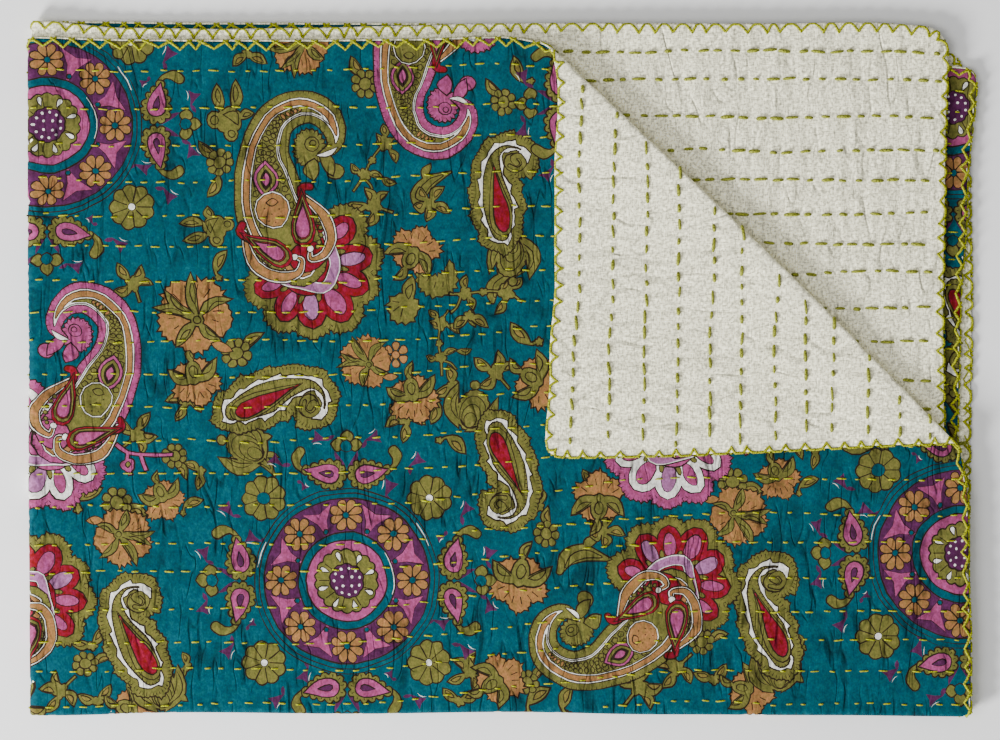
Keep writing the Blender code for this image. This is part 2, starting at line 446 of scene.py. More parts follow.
def as_complex(flat):
    """Places given as rows of across and up, as complex numbers."""
    return flat @ np.array((1, 1j))


def round_ways(count, start=0.0):
    """Evenly spaced ways to point, all round, from a start in steps."""
    return np.exp(2j * np.pi * (np.arange(count) + start) / count)


def circle(centre, radius, count=20):
    """A circle of count points."""
    return centre + radius * round_ways(count)


def lobed(centre, radius, lobes, depth, count=6, turn=0.0):
    """A round shape with a scalloped edge."""
    angle = 2 * np.pi * np.arange(lobes * count) / (lobes * count)
    bulge = 1 - depth + depth * np.abs(np.sin(lobes * angle / 2))
    return centre + radius * bulge * np.exp(1j * (angle + turn))


def leaf(base, tip, width, bend=0.0, count=6):
    """A pointed leaf from base to tip, bent to the left by bend."""
    t = np.linspace(0, 1, count + 1)
    way = tip - base
    side = 1j * way / abs(way)
    line = base + way * t + side * bend * np.sin(np.pi * t)
    half = side * width / 2 * np.sin(np.pi * t) ** 0.8
    return np.concatenate((line + half, (line - half)[-2:0:-1]))


def drop(tip, end, width, count=18, sharp=1.3):
    """A teardrop from its point to its round end, slimmer at the point when sharper."""
    t = 2 * np.pi * (np.arange(count) + 0.5) / count
    way = end - tip
    side = 1j * way / abs(way)
    across = np.sin(t) * np.sin(t / 2) ** sharp
    return tip + way * (1 - np.cos(t)) / 2 + side * width * (0.5 + sharp * 0.1) * across


def ribbon(points, halves, count=30, inset=0.0, lean=0.0):
    """A strip along a curve: its half-width changes, less inset, and it leans left."""
    line = smooth(points, count)
    half = smooth(halves, count) - inset
    ahead = np.gradient(line)
    side = 1j * ahead / np.abs(ahead)
    line = line + side * lean
    keep = half > 0.25
    line, half, side = line[keep], half[keep], side[keep]
    if len(line) < 3:
        return None
    cap = np.exp(-1j * np.linspace(0, np.pi, 7)[1:-1])
    end = line[-1] + half[-1] * side[-1] * cap
    start = line[0] - half[0] * side[0] * cap
    return np.concatenate((line + half * side, end, (line - half * side)[::-1], start))


def stroke(points, width, count=16):
    """A strip of even width along a curve, with square ends."""
    line = smooth(points, count)
    ahead = np.gradient(line)
    side = 1j * ahead / np.abs(ahead) * width / 2
    return np.concatenate((line + side, (line - side)[::-1]))


def walked(shape):
    """How far along a closed shape's edge each point is, and its points, the first again."""
    closed = np.append(shape, shape[0])
    return np.concatenate(((0,), np.cumsum(np.abs(np.diff(closed))))), closed


def along_edge(place, length, held):
    """What a closed edge holds, as complex numbers, at places along its length."""
    place = place % length[-1]
    return np.interp(place, length, held.real) + 1j * np.interp(place, length, held.imag)


def edged(shape, depth, pitch, pattern, uneven=0.0):
    """The shape with its edge moved out again and again, by shares of depth."""
    length, closed = walked(shape)
    count = max(int(length[-1] / pitch), 3)
    tooth, share = np.divmod(np.arange(count * len(pattern)), len(pattern))
    chance = scrambled(tooth * 12.99 + length[-1])
    place = tooth + share / len(pattern) + uneven * 0.4 * chance
    even = along_edge(np.clip(place / count, 0, 1) * length[-1], length, closed)
    out = np.array(pattern)[share] * (1 + uneven * chance)
    return even + (grown(even, depth) - even) * out


def toothed(shape, depth, pitch, uneven=0.35):
    """The shape with a ragged, saw-toothed edge."""
    return edged(shape, depth, pitch, (0.0, 1.0), uneven)


def scalloped(shape, depth, pitch):
    """The shape with a row of small round lobes for an edge."""
    return edged(shape, depth, pitch, (0.0, 0.8, 1.0, 0.8))


def oval(centre, long, wide, count=12):
    """An oval: long is its half-length and its direction, wide its half-width."""
    angle = 2 * np.pi * np.arange(count) / count
    return centre + long * np.cos(angle) + 1j * long / abs(long) * wide * np.sin(angle)


def inside(places, shape):
    """Which places lie inside a closed shape."""
    found = np.zeros(len(places), int)
    x, y = places.real, places.imag
    for a, b in zip(shape, np.roll(shape, -1)):
        if a.imag == b.imag:
            continue
        crosses = (a.imag <= y) != (b.imag <= y)
        left = (b.real - a.real) * (y - a.imag) - (x - a.real) * (b.imag - a.imag)
        found += np.where(crosses & (left > 0) & (b.imag > a.imag), 1, 0)
        found -= np.where(crosses & (left < 0) & (b.imag < a.imag), 1, 0)
    return found != 0


# ---------------------------------------------------------------- the printed motifs
# Each motif is drawn about its own middle in millimetres, as (ink, shape) in the order
# the blocks are printed. A drawn line in the outline ink runs round most shapes.

LINE = 1.35  # width of the drawn line round a shape
THIN = 1.0  # and round a small one, or of a cut


def lined(ink, shape, line=LINE):
    """A shape of one ink with a drawn line round it."""
    if shape is None:
        return []
    return [("outline", grown(shape, line * 0.55)), (ink, grown(shape, -line * 0.45))]


def joined(ink, shapes, line=LINE):
    """Shapes of one ink run together, with one drawn line round them all."""
    outer = [("outline", grown(shape, line * 0.55)) for shape in shapes]
    return outer + [(ink, grown(shape, -line * 0.45)) for shape in shapes]


def cut(start, end, width=THIN):
    """A straight cut in the outline ink."""
    return [("outline", stroke((start, end), width, 3))]


def ticks(shape, pitch, reach, width=1.1):
    """Short pointed cuts in from the edge of a shape, in the outline ink."""
    length, closed = walked(shape)
    inner = grown(shape, -reach)
    places = np.arange(pitch / 2, length[-1], pitch)
    outer = along_edge(places, length, closed)
    inward = along_edge(places, length, np.append(inner, inner[0]))
    way = inward - outer
    side = 1j * way / np.maximum(np.abs(way), 1e-9) * width / 2
    return [("outline", np.array(tick)) for tick in zip(outer + side, outer - side, inward)]


def flower(centre, petals, reach, petal_width, ink, heart, heart_radius):
    """Round petals about a heart."""
    shapes = []
    for way in round_ways(petals, 0.5):
        near, far = centre + way * heart_radius * 0.6, centre + way * reach
        shapes += lined(ink, drop(near, far, petal_width, 12), THIN)
    return shapes + lined(heart, circle(centre, heart_radius, 10), THIN)


def rosette(centre, radius, heart):
    """A fluted round flower with a small pale heart."""
    shapes = lined("olive", lobed(centre, radius, 9, 0.13, 5))
    for way in round_ways(9):
        shapes += cut(centre + way * 5, centre + way * radius * 0.86, 1.1)
    size = 3.7 if heart == "white" else 6.5
    return shapes + lined(heart, circle(centre, size, 12), 0.8)


def dotted_heart():
    """The medallion's middle: white dots on purple, and white drops on olive."""
    shapes = lined("pink", circle(0, 40, 48)) + lined("olive", lobed(0, 32, 18, 0.08, 4))
    for way in round_ways(9, 0.5):
        shapes += cut(way * 17, way * 27)
    for way in round_ways(8, 0.4):
        shapes += lined("white", drop(way * 19, way * 29, 5.4, 12), THIN)
    shapes += lined("purple", lobed(0, 17.2, 10, 0.08, 3))
    for reach, count in ((12.6, 11), (6.2, 4)):
        for way in round_ways(count, 0.5):
            shapes.append(("white", circle(way * reach, 1.4, 6)))
    return shapes


def three_points(centre, way, size, spread, hollow_share):
    """A shape with three points and hollow sides."""
    corners = (-1.3, 0.75 + spread * 1j, 0.75 - spread * 1j)
    tips = [centre + way * size * corner for corner in corners]
    shape = []
    for a, b in zip(tips, tips[1:] + tips[:1]):
        hollow = centre + ((a + b) / 2 - centre) * hollow_share
        shape += [a, (a + 1.6 * hollow) / 2.6, hollow, (b + 1.6 * hollow) / 2.6]
    return np.array(shape)


def scrap(place, way, size):
    """A little three-pointed purple leaf with a white sliver beside it."""
    tail = leaf(place - way * size, place - way * (1.9 + 0.9j) * size, size * 0.6)
    start, end = place + way * (0.7 + 1.1j) * size, place - way * (0.6 - 0.7j) * size
    sliver = leaf(start, end, 0.7, 1.4)
    body = three_points(place, way, size * 1.1, 0.8, 0.75)
    return [("purple", body), ("purple", tail), ("white", sliver)]


def petal_pair(way):
    """Two pink drops with scalloped olive edges and hooked stalks, either side of way."""
    shapes = []
    for side in (1, -1):
        end, tip = way * (104 + side * 8j), way * (111 + side * 43j)
        middle = (end + tip) / 2
        rim = drop(tip + (tip - end) * 0.05, end - (tip - end) * 0.13, 28, 26)
        bends = (-2, 4 + side * 6j, 12 + side * 7j, 18 + side * 3j)
        hook = [tip + way * bend for bend in bends]
        shapes += lined("olive", ribbon(hook, (2, 3, 5, 5), 12))
        shapes += lined("olive", scalloped(rim, 3.0, 8.0)) + ticks(rim, 8.0, 4.0)
        shapes += lined("pink", drop(tip, end, 20.5, 18))
        heart = drop(middle + (tip - end) * 0.1, end + (tip - end) * 0.16, 7, 10)
        shapes += lined("purple", heart, THIN)
    return shapes


def half_flower(way):
    """Three olive petals round a hollow, with purple leaves beside them."""
    shapes = []
    for turn in (1.45, -1.45, 0.0):
        lean = way * np.exp(1j * turn)
        shapes += lined("olive", leaf(way * 134 + lean * 2, way * 134 + lean * 16, 13))
    shapes += lined("teal", circle(way * 134, 6.0, 8), THIN)
    for side in (1, -1):
        shapes.append(("purple", leaf(way * 111, way * (129 + side * 12j), 5, side * 2)))
    for side in (1, -1):
        shapes += scrap(way * (142 + side * 27j), way * (0.3 + side * 1j), 7)
    return shapes


def medallion():
    """A ring of orange flowers round a dotted heart, inside a ring of drops."""
    shapes = []
    for quarter in (1, 1j, -1, -1j):
        shapes += half_flower(quarter) + petal_pair(quarter)
        diagonal = quarter * np.exp(0.25j * np.pi)
        shapes += rosette(diagonal * 116, 22.5, "teal" if quarter == 1j else "white")
        for side in (1, -1):
            near, far = diagonal * np.exp(0.36j * side), diagonal * np.exp(0.25j * side)
            shapes += scrap(near * 103, near * (0.3 + side), 6)
            shapes += scrap(far * 138, far * (1 - side * 0.4j), 7)
    for radius in (92, 87.5):
        shapes += lined("teal", circle(0, radius, 64), THIN)
    for turn in (0.3, 2.6):
        arc = 89.6 * np.exp(1j * np.linspace(turn, turn + 0.5, 4))
        shapes.append(("white", ribbon(arc, (0.2, 0.4, 0.2), 10)))
    shapes += lined("purple", circle(0, 82.5, 64))
    for way, flower_way in zip(round_ways(8, 0.5), round_ways(8, 1)):
        shapes += lined("pink", three_points(way * 65, way, 15.5, 1.0, 0.64), 0.6)
        shapes += lined("teal", circle(way * 52.5, 2.6, 6), THIN)
        shapes += flower(flower_way * 65.3, 8, 16.6, 9.6, "orange", "teal", 3.3)
    shapes += lined("teal", circle(0, 48, 48))
    arc = 47.0 * np.exp(1j * np.linspace(-0.5, 0.8, 5))
    shapes.append(("white", ribbon(arc, (0.2, 0.4, 0.2), 14)))
    return shapes + dotted_heart()


# The large paisley's body and the bands at its foot: lines, and half-widths along them.
BODY_LINE = (
    2 - 50j, -22 - 15j, -33 + 26j, -35 + 60j, -26 + 86j, -8 + 100j,
    12 + 102j, 28 + 92j, 35 + 76j, 32 + 62j, 20 + 56j,
)
BODY_HALF = (26, 36, 33, 24, 20, 18, 16, 14, 11, 7, 2)
LOTUS_BAND = (-34 - 52j, -20 - 67j, 3 - 73j, 26 - 77j, 35 - 56j, 31 - 36j, 25 - 24j)
LOTUS_BAND_HALF = (3.2, 5.2, 5.6, 5.8, 5.8, 5.2, 3.2)
LOTUS_HEART_HALF = (2.0, 3.8, 4.2, 4.4, 4.4, 3.8, 2.0)
LEFT_SCROLL = (-55 - 22j, -46 - 54j, -23 - 66j, -3 - 63j, 3 - 50j, -5 - 46j)
RIGHT_SCROLL = (4 + 14j, 23 - 5j, 31 - 26j, 25 - 43j, 12 - 48j, 10 - 38j)
SCROLL_HALF = (3, 6, 6, 5, 3.5, 2.5)
LEFT_BEADS = (-45 - 36j, -33 - 51j, -16 - 57j)
RIGHT_BEADS = (16 - 6j, 21 - 22j, 17 - 36j)

# The petals of the lotus: which way each points, in degrees, how far out its middle is,
# and half its length and width.
Petal = namedtuple("Petal", "turn reach long wide")
LOTUS = (
    Petal(turn=46, reach=46, long=10, wide=6),
    Petal(turn=8, reach=43, long=14, wide=7),
    Petal(turn=-22, reach=43, long=13, wide=6.5),
    Petal(turn=-54, reach=46, long=14, wide=8.5),
    Petal(turn=-86, reach=42, long=14, wide=8),
    Petal(turn=-117, reach=43, long=13, wide=6),
    Petal(turn=-151, reach=41, long=11, wide=5.5),
)
LOTUS_MIDDLE = 9 - 54j
LotusInks = namedtuple("LotusInks", "border field lobe disc heart")


def lotus(inks):
    """The many-petalled flower at the foot of a large paisley."""
    ways = [np.exp(1j * math.radians(petal.turn)) for petal in LOTUS]
    lobes = [
        oval(LOTUS_MIDDLE + way * petal.reach, way * petal.long, petal.wide, 14)
        for way, petal in zip(ways, LOTUS)
    ]
    shapes = []
    for ink, room in ((inks.border, 17), (inks.field, 7.5)):
        rims = [grown(shape, room) for shape in lobes] + [circle(LOTUS_MIDDLE, 33 + room, 26)]
        if ink == inks.border:
            shapes += joined(ink, [toothed(rim, 2.2, 6.0) for rim in rims])
            shapes += [tick for shape in lobes for tick in ticks(grown(shape, 18), 5.4, 4.6)]
        else:
            shapes += joined(ink, rims)
    for number, (way, shape) in enumerate(zip(ways, lobes)):
        shapes += lined("mauve" if number % 3 == 1 else inks.lobe, shape, THIN)
        seed = LOTUS_MIDDLE + way * np.exp(0.26j) * 34
        shapes += lined("olive", oval(seed, way * (4 + number % 3), 2.6, 8), THIN)
    shapes += lined(inks.disc, circle(LOTUS_MIDDLE, 31, 26))
    shapes += lined("white", ribbon(LOTUS_BAND, LOTUS_BAND_HALF, 26), THIN)
    return shapes + [(inks.heart, ribbon(LOTUS_BAND, LOTUS_HEART_HALF, 26))]


def scroll(points, beaded):
    """An orange curl edged with white, with a string of beads along its hollow side."""
    shapes = lined("white", ribbon(points, SCROLL_HALF, 24))
    shapes += lined("orange", ribbon(points, SCROLL_HALF, 24, 1.9), THIN)
    shapes += lined("white", circle(points[-1], 3.6, 9), THIN)
    for place in smooth(beaded, 6):
        shapes += lined("olive", circle(place, 2.4, 5), THIN)
    return shapes


def paisley_filling(boss_ink):
    """Beads, a pink lozenge and a dotted boss in a paisley's body."""
    shapes = []
    line, half = smooth(BODY_LINE, 90), smooth(BODY_HALF, 90)
    side = 1j * np.gradient(line) / np.abs(np.gradient(line))
    for i in range(10, 76, 2):
        room = half[i] - 15.4
        middle = line[i] - side[i] * 2.6
        if room > 9:
            for lean, size in ((1, 3.4), (-1, 3.4), (0.45, 2.6), (-0.45, 2.6)):
                bead = circle(middle + lean * side[i] * (room - 4), size, 5)
                shapes += lined("olive", bead, THIN)
        elif room > 3.5:
            for lean in (0.5, -0.5):
                bead = oval(middle + lean * side[i] * room, side[i] * room * 0.46, 2.2, 7)
                shapes += lined("olive", bead, THIN)
        elif room > 1.5:
            shapes += lined("orange", oval(middle, side[i] * room, 1.8, 7), THIN)
    lozenge = leaf(-34 + 12j, -34 + 50j, 26)
    shapes += lined("pink", lozenge)
    shapes += lined("olive", grown(lozenge, -3.2), THIN)
    shapes += lined("outline", leaf(-34 + 20j, -34 + 41j, 11))
    shapes += lined("pink", leaf(-34 + 23j, -34 + 38j, 8), THIN)
    boss = oval(-27 + 0j, 17j, 16)
    shapes += lined("white", grown(boss, 1.8), THIN)
    shapes += lined(boss_ink, boss, THIN)
    for place in (-33 - 6j, -27 - 3j, -21 - 6j, -31 - 11j, -24 - 12j, -34 + 2j, -20 + 2j):
        shapes.append(("outline", circle(place, 0.9, 4)))
    return shapes + lined(boss_ink, leaf(-33 + 8j, -21 + 9j, 7), THIN)


def hooked_drop(tip, end, width):
    """A pink drop in olive and red rings, with a red hook at its point."""
    way = tip - end
    hook = (end + way * 0.72, end + way * 0.98, end + way * (1.02 - 0.14j))
    shapes = lined("red", ribbon(hook, (3.6, 4.0, 3.6), 9))
    for ink, share in (("red", 1.0), ("olive", 0.82), ("red", 0.64), ("pink", 0.56)):
        middle = end + way * 0.36
        near, far = middle + (tip - middle) * share, middle + (end - middle) * share
        shapes += lined(ink, drop(near, far, width * share, 16, 1.7), THIN)
    return shapes


# The bands inside a large paisley's fringe: how far in each starts, and how far it leans.
Band = namedtuple("Band", "ink inset lean")
BANDS = (
    Band("white", 7.8, 0.6), Band("orange", 9.8, 0.6),
    Band("white", 12.6, -2.6), Band("olive", 14.4, -2.6),
)


def large_paisley(fringe, boss_ink, lotus_inks):
    """A curled drop with banded edges that grows from a lotus."""
    shapes = lotus(lotus_inks)
    rim = ribbon(BODY_LINE, BODY_HALF, 60)
    bulb = oval(9 + 62j, 18j, 15, 18)
    shapes += lined(fringe, toothed(bulb, 2.2, 5.0)) + ticks(bulb, 5.0, 3.6)
    shapes += lined(fringe, leaf(14 + 52j, 14 + 30j, 17, -3))
    shapes += lined(fringe, oval(36 + 39j, 9, 8))
    shapes += lined(fringe, leaf(20 + 58j, 34 + 34j, 13, 2))
    shapes += lined(fringe, rim) + ticks(rim, 5.6, 3.2)
    for band in BANDS:
        line = ribbon(BODY_LINE, BODY_HALF, 60, band.inset, band.lean)
        shapes += lined(band.ink, line, THIN)
    shapes += lined("white", leaf(37 + 62j, 16 + 55j, 5, 3), THIN)
    shapes += lined(fringe, circle(12 + 66j, 7, 10), THIN)
    shapes += lined(fringe, circle(13 + 67j, 3, 8), THIN)
    shapes += paisley_filling(boss_ink)
    shapes += lined(lotus_inks.disc, oval(8 - 46j, 19 + 4j, 15))
    shapes += scroll(LEFT_SCROLL, LEFT_BEADS) + scroll(RIGHT_SCROLL, RIGHT_BEADS)
    return shapes + hooked_drop(-60 - 22j, -8 - 52j, 27) + hooked_drop(2 + 23j, 4 - 36j, 26)


def olive_paisley():
    """The large paisley with an olive fringe and a red lotus."""
    return large_paisley("olive", "orange", LotusInks("olive", "red", "pink", "red", "mauve"))


def pink_paisley():
    """The large paisley with a pink fringe and a white and pink lotus."""
    return large_paisley("pink", "olive", LotusInks("pink", "white", "pink", "pink", "mauve"))


SMALL_LINE = (
    9 - 40j, -3 - 12j, -15 + 14j, -18 + 36j, -8 + 49j, 8 + 49j, 16 + 38j, 11 + 27j, 3 + 28j,
)
SMALL_HALF = (21, 27, 21, 16, 13, 12, 10, 7, 3)


def small_paisley():
    """An olive curled drop with a broken white line and a red heart."""
    rim = ribbon(SMALL_LINE, SMALL_HALF, 40)
    jagged = (0.1, 0.0, 0.3, 0.45, 0.6, 1.0)  # a slow rise and a sudden fall
    shapes = lined("olive", toothed(edged(rim, 4.2, 26.0, jagged, 0.5), 1.2, 5.0))
    shapes += ticks(rim, 3.8, 4.4)
    band = ribbon(SMALL_LINE, SMALL_HALF, 34, 9.4)
    shapes += lined("white", edged(band, 3.8, 20, jagged, 0.3))
    core = ribbon(SMALL_LINE, SMALL_HALF, 34, 11.8, -0.4)
    shapes += lined("olive", core) + ticks(core, 4.2, 3.4)
    curl = (-1 + 30j, 8 + 29j, 13 + 36j, 7 + 43j, 0 + 39j, 5 + 35j)
    shapes += lined("olive", oval(3 + 34j, 10j, 11))
    shapes += lined("olive", ribbon(curl, (2, 3), 16), THIN)
    shapes += lined("olive", drop(-19 + 28j, 14 - 43j, 26, 20, 1.8), THIN)
    return shapes + lined("red", drop(-17 + 24j, 13 - 38j, 18, 20, 2.2))


def bud():
    """A banded olive bud, like an onion's rings, between two curved leaves."""
    shapes = joined(
        "olive",
        [
            leaf(-4 - 22j, -19 + 21j, 15, 8),
            circle(-3 + 25j, 5, 8),
            toothed(oval(3, 21j, 15, 16), 1.4, 6.0),
            leaf(2 - 23j, 22 + 22j, 14, -8),
            leaf(14 - 8j, 26 - 16j, 8, 2),
        ],
    )
    for reach in (17, 12.5, 8):
        ring = oval(3 + (reach - 19) * 0.9j, reach * 1j, reach * 0.72, 14)
        shapes += lined("olive", ring, THIN)
    shapes += lined("olive", leaf(7 - 15j, 20 + 15j, 6, -7), THIN)
    return shapes + lined("olive", leaf(-7 - 14j, -16 + 14j, 5, 6), THIN)


def inner_leaves(leaves, ink="ochre"):
    """A smaller leaf drawn inside each of the leaves."""
    shapes = []
    for base, tip, width, bend in leaves:
        way = tip - base
        inner = leaf(base + way * 0.3, base + way * 0.82, width * 0.42, bend * 0.5, 5)
        shapes += lined(ink, inner, THIN)
    return shapes


def burst():
    """A ragged orange flower with olive leaves across it."""
    shapes = lined("orange", toothed(lobed(0, 33, 5, 0.15, 8, 0.4), 3.4, 6.0, 0.7))
    for way in round_ways(14, 0.3):
        shapes += cut(way * 17, way * (24 + 4 * way.imag), 0.9)
    leaves = (
        (4 - 4j, -4 + 38j, 11, 3), (4 - 4j, -38 + 6j, 10, -4), (4 - 4j, 34 + 14j, 9, 6),
        (2 - 6j, -16 - 29j, 11, -2), (2 - 6j, -27 + 22j, 9, 3), (3 - 5j, 24 - 24j, 9, -3),
    )
    shapes += joined("olive", [leaf(*sizes) for sizes in leaves] + [circle(3 - 5j, 6, 9)])
    shapes += inner_leaves(leaves, "olive") + lined("olive", circle(3 - 5j, 3.4, 8), THIN)
    return shapes + lined("orange", leaf(14 - 26j, 34 - 32j, 9), THIN)


def eared_flower():
    """A round olive flower with two tall leaves, like ears, and round petals."""
    leaves = ((-8 + 8j, -12 + 37j, 12, 1), (4 + 9j, 7 + 40j, 12, -2), (9 + 2j, 25 + 7j, 11, 2))
    parts = [leaf(*sizes) for sizes in leaves]
    parts += [lobed(0, 14, 6, 0.12, 4), circle(-15 + 1j, 8, 10), circle(2 - 13j, 7.5, 10)]
    shapes = joined("olive", parts) + inner_leaves(leaves, "olive")
    shapes += lined("olive", circle(-15 + 1j, 4, 8), THIN)
    shapes += lined("olive", circle(3 - 13j, 3.6, 8), THIN)
    return shapes + lined("olive", leaf(-6 + 6j, 10 - 4j, 9, 5), THIN)


def oak_leaf():
    """A ragged leaf curled like a crescent."""
    curled = ribbon((-19 + 15j, -14 - 3j, 4 - 9j, 16 + 2j, 18 + 17j), (4, 10, 12, 9, 4), 26)
    shapes = lined("olive", toothed(curled, 3.0, 7.5, 0.7))
    for start, tip in ((-12 - 3j, -8 + 2j), (-3 - 12j, -1 - 4j), (8 - 10j, 8 - 3j)):
        shapes += cut(start, tip)
    return shapes + lined("olive", leaf(-17 + 3j, -16 + 14j, 5, 2), THIN)


def fan_leaf():
    """A round ragged leaf that narrows to a stalk."""
    round_part = toothed(lobed(-4j, 15, 5, 0.12, 6, 0.8), 2.6, 7.0, 0.7)
    shapes = joined("olive", [round_part, leaf(6 + 1j, 5 + 29j, 14, 3)])
    for tip in (-10 - 9j, -2 - 13j, -12 + 1j):
        shapes += cut(tip * 0.4, tip)
    return shapes + lined("olive", leaf(4 + 5j, 6 + 20j, 7, 2), THIN)


def pink_stem():
    """A forked pink stem with a small heart-shaped flower."""
    stems = (
        (-26 + 10j, -12 + 1j, 10 - 1j, 30 - 1j), (-14 + 2j, -15 - 9j, -11 - 22j),
        (-2 + 1j, 4 - 17j),
    )
    parts = [stroke(points, 4.0, 8) for points in stems] + [lobed(-14 - 12j, 8, 3, 0.2, 6)]
    return joined("pink", parts) + lined("olive", leaf(-14 - 15j, -14 - 8j, 5), THIN)


def thistle():
    """A ragged orange head under olive sepals, on a short leafy stalk."""
    shapes = lined("orange", toothed(lobed(-10j, 24, 5, 0.26, 5, 0.5), 2.6, 5.0, 0.7))
    for way in np.exp(1j * np.radians((215, 240, 262, 285, 310, 330))):
        start = way * 14 - 6j
        shapes += cut(start, start + way * 7, 0.9)
    leaves = ((-9j, 25 + 10j, 12, -4), (-9j, -25 + 7j, 12, 4), (8j, 5 + 27j, 9, 3))
    shapes += joined("olive", [leaf(*sizes) for sizes in leaves] + [oval(0j, 12j, 8)])
    return shapes + inner_leaves(leaves, "olive") + lined("olive", oval(1j, 6j, 4, 9), THIN)


def spray(stems, leaves, knots=()):
    """Olive leaves and knots on thin stems, run together."""
    parts = [stroke(points, 2.8, 8) for points in stems]
    parts += [lobed(place, size, 5, 0.3, 4) for place, size in knots]
    parts += [leaf(*sizes) for sizes in leaves]
    return joined("olive", parts) + inner_leaves(leaves)


def sprig():
    """Four seeded leaves round a knot on a stem."""
    leaves = (
        (-2 - 2j, -21 + 7j, 11, 3), (2j, 20 + 9j, 11, -4), (4j, 2 + 26j, 11, 2),
        (3 - 3j, 15 - 15j, 9, 3),
    )
    return spray(((-7 - 20j, -3 - 9j, 0j),), leaves, ((0, 9),))


def pair():
    """Two seeded leaves on a knot."""
    return spray((), ((-2j, -18 + 11j, 11, 2), (-2j, 18 + 8j, 11, -2)), ((-3j, 6),))


def single():
    """A seeded leaf with a bud at its foot."""
    return spray(((-14 - 6j, -12 - 1j, -8),), ((-13, 13, 12, 2),), ((-15 - 7j, 4),))


def daisy():
    """A small olive flower with a leaf."""
    shapes = spray((), ((-6j, 13 - 26j, 10, 3),))
    return shapes + flower(0, 8, 13.5, 8.5, "olive", "olive", 6.0)


def blossom():
    """A small orange flower."""
    return flower(0, 6, 12.5, 9, "orange", "orange", 4.0)


def forked_branch():
    """A thin forked stem with knots, leaves and buds."""
    stems = (
        (-16 - 34j, -6 - 16j, 2 + 4j, 16 + 26j, 32 + 34j),
        (-6 - 16j, 3 - 26j, 5 - 36j),
    )
    leaves = (
        (-2 - 12j, 16 - 14j, 9, 2), (14 - 15j, 32 - 22j, 9, -2), (-8 - 12j, -21 - 2j, 9, 2),
        (16 + 32j, 11 + 47j, 10, 0), (20 + 20j, 29 + 3j, 10, 3), (13 + 18j, 4 + 35j, 8, -2),
    )
    return spray(stems, leaves, ((-5 - 13j, 8), (15 + 25j, 10), (3 + 4j, 5)))


def horn():
    """A long curved leaf with veins, and a smaller one."""
    body = ribbon((-26 - 8j, -18 + 6j, 0 + 10j, 24 + 4j), (3, 8, 7, 1), 16)
    inner = ribbon((-20 - 3j, -12 + 6j, 2 + 9j, 14 + 7j), (1.5, 3.5, 3, 1), 12)
    shapes = joined("olive", [body, leaf(-4 + 12j, 13 + 25j, 9, 3)])
    return shapes + lined("olive", inner, THIN)


def cluster():
    """A bunch of seeded leaves."""
    ways = np.exp(1j * (0.5 + 1.25 * np.arange(5)))
    return spray((), [(way * 2, way * (22 + 5 * way.real), 12, 3) for way in ways], ((0, 8),))


# Each motif by its name, such as "small paisley".
MOTIFS = {
    motif.__name__.replace("_", " "): motif
    for motif in (
        medallion, olive_paisley, pink_paisley, small_paisley, bud, burst, eared_flower,
        oak_leaf, fan_leaf, pink_stem, thistle, sprig, pair, single, daisy, blossom,
        forked_branch, horn, cluster,
    )
}

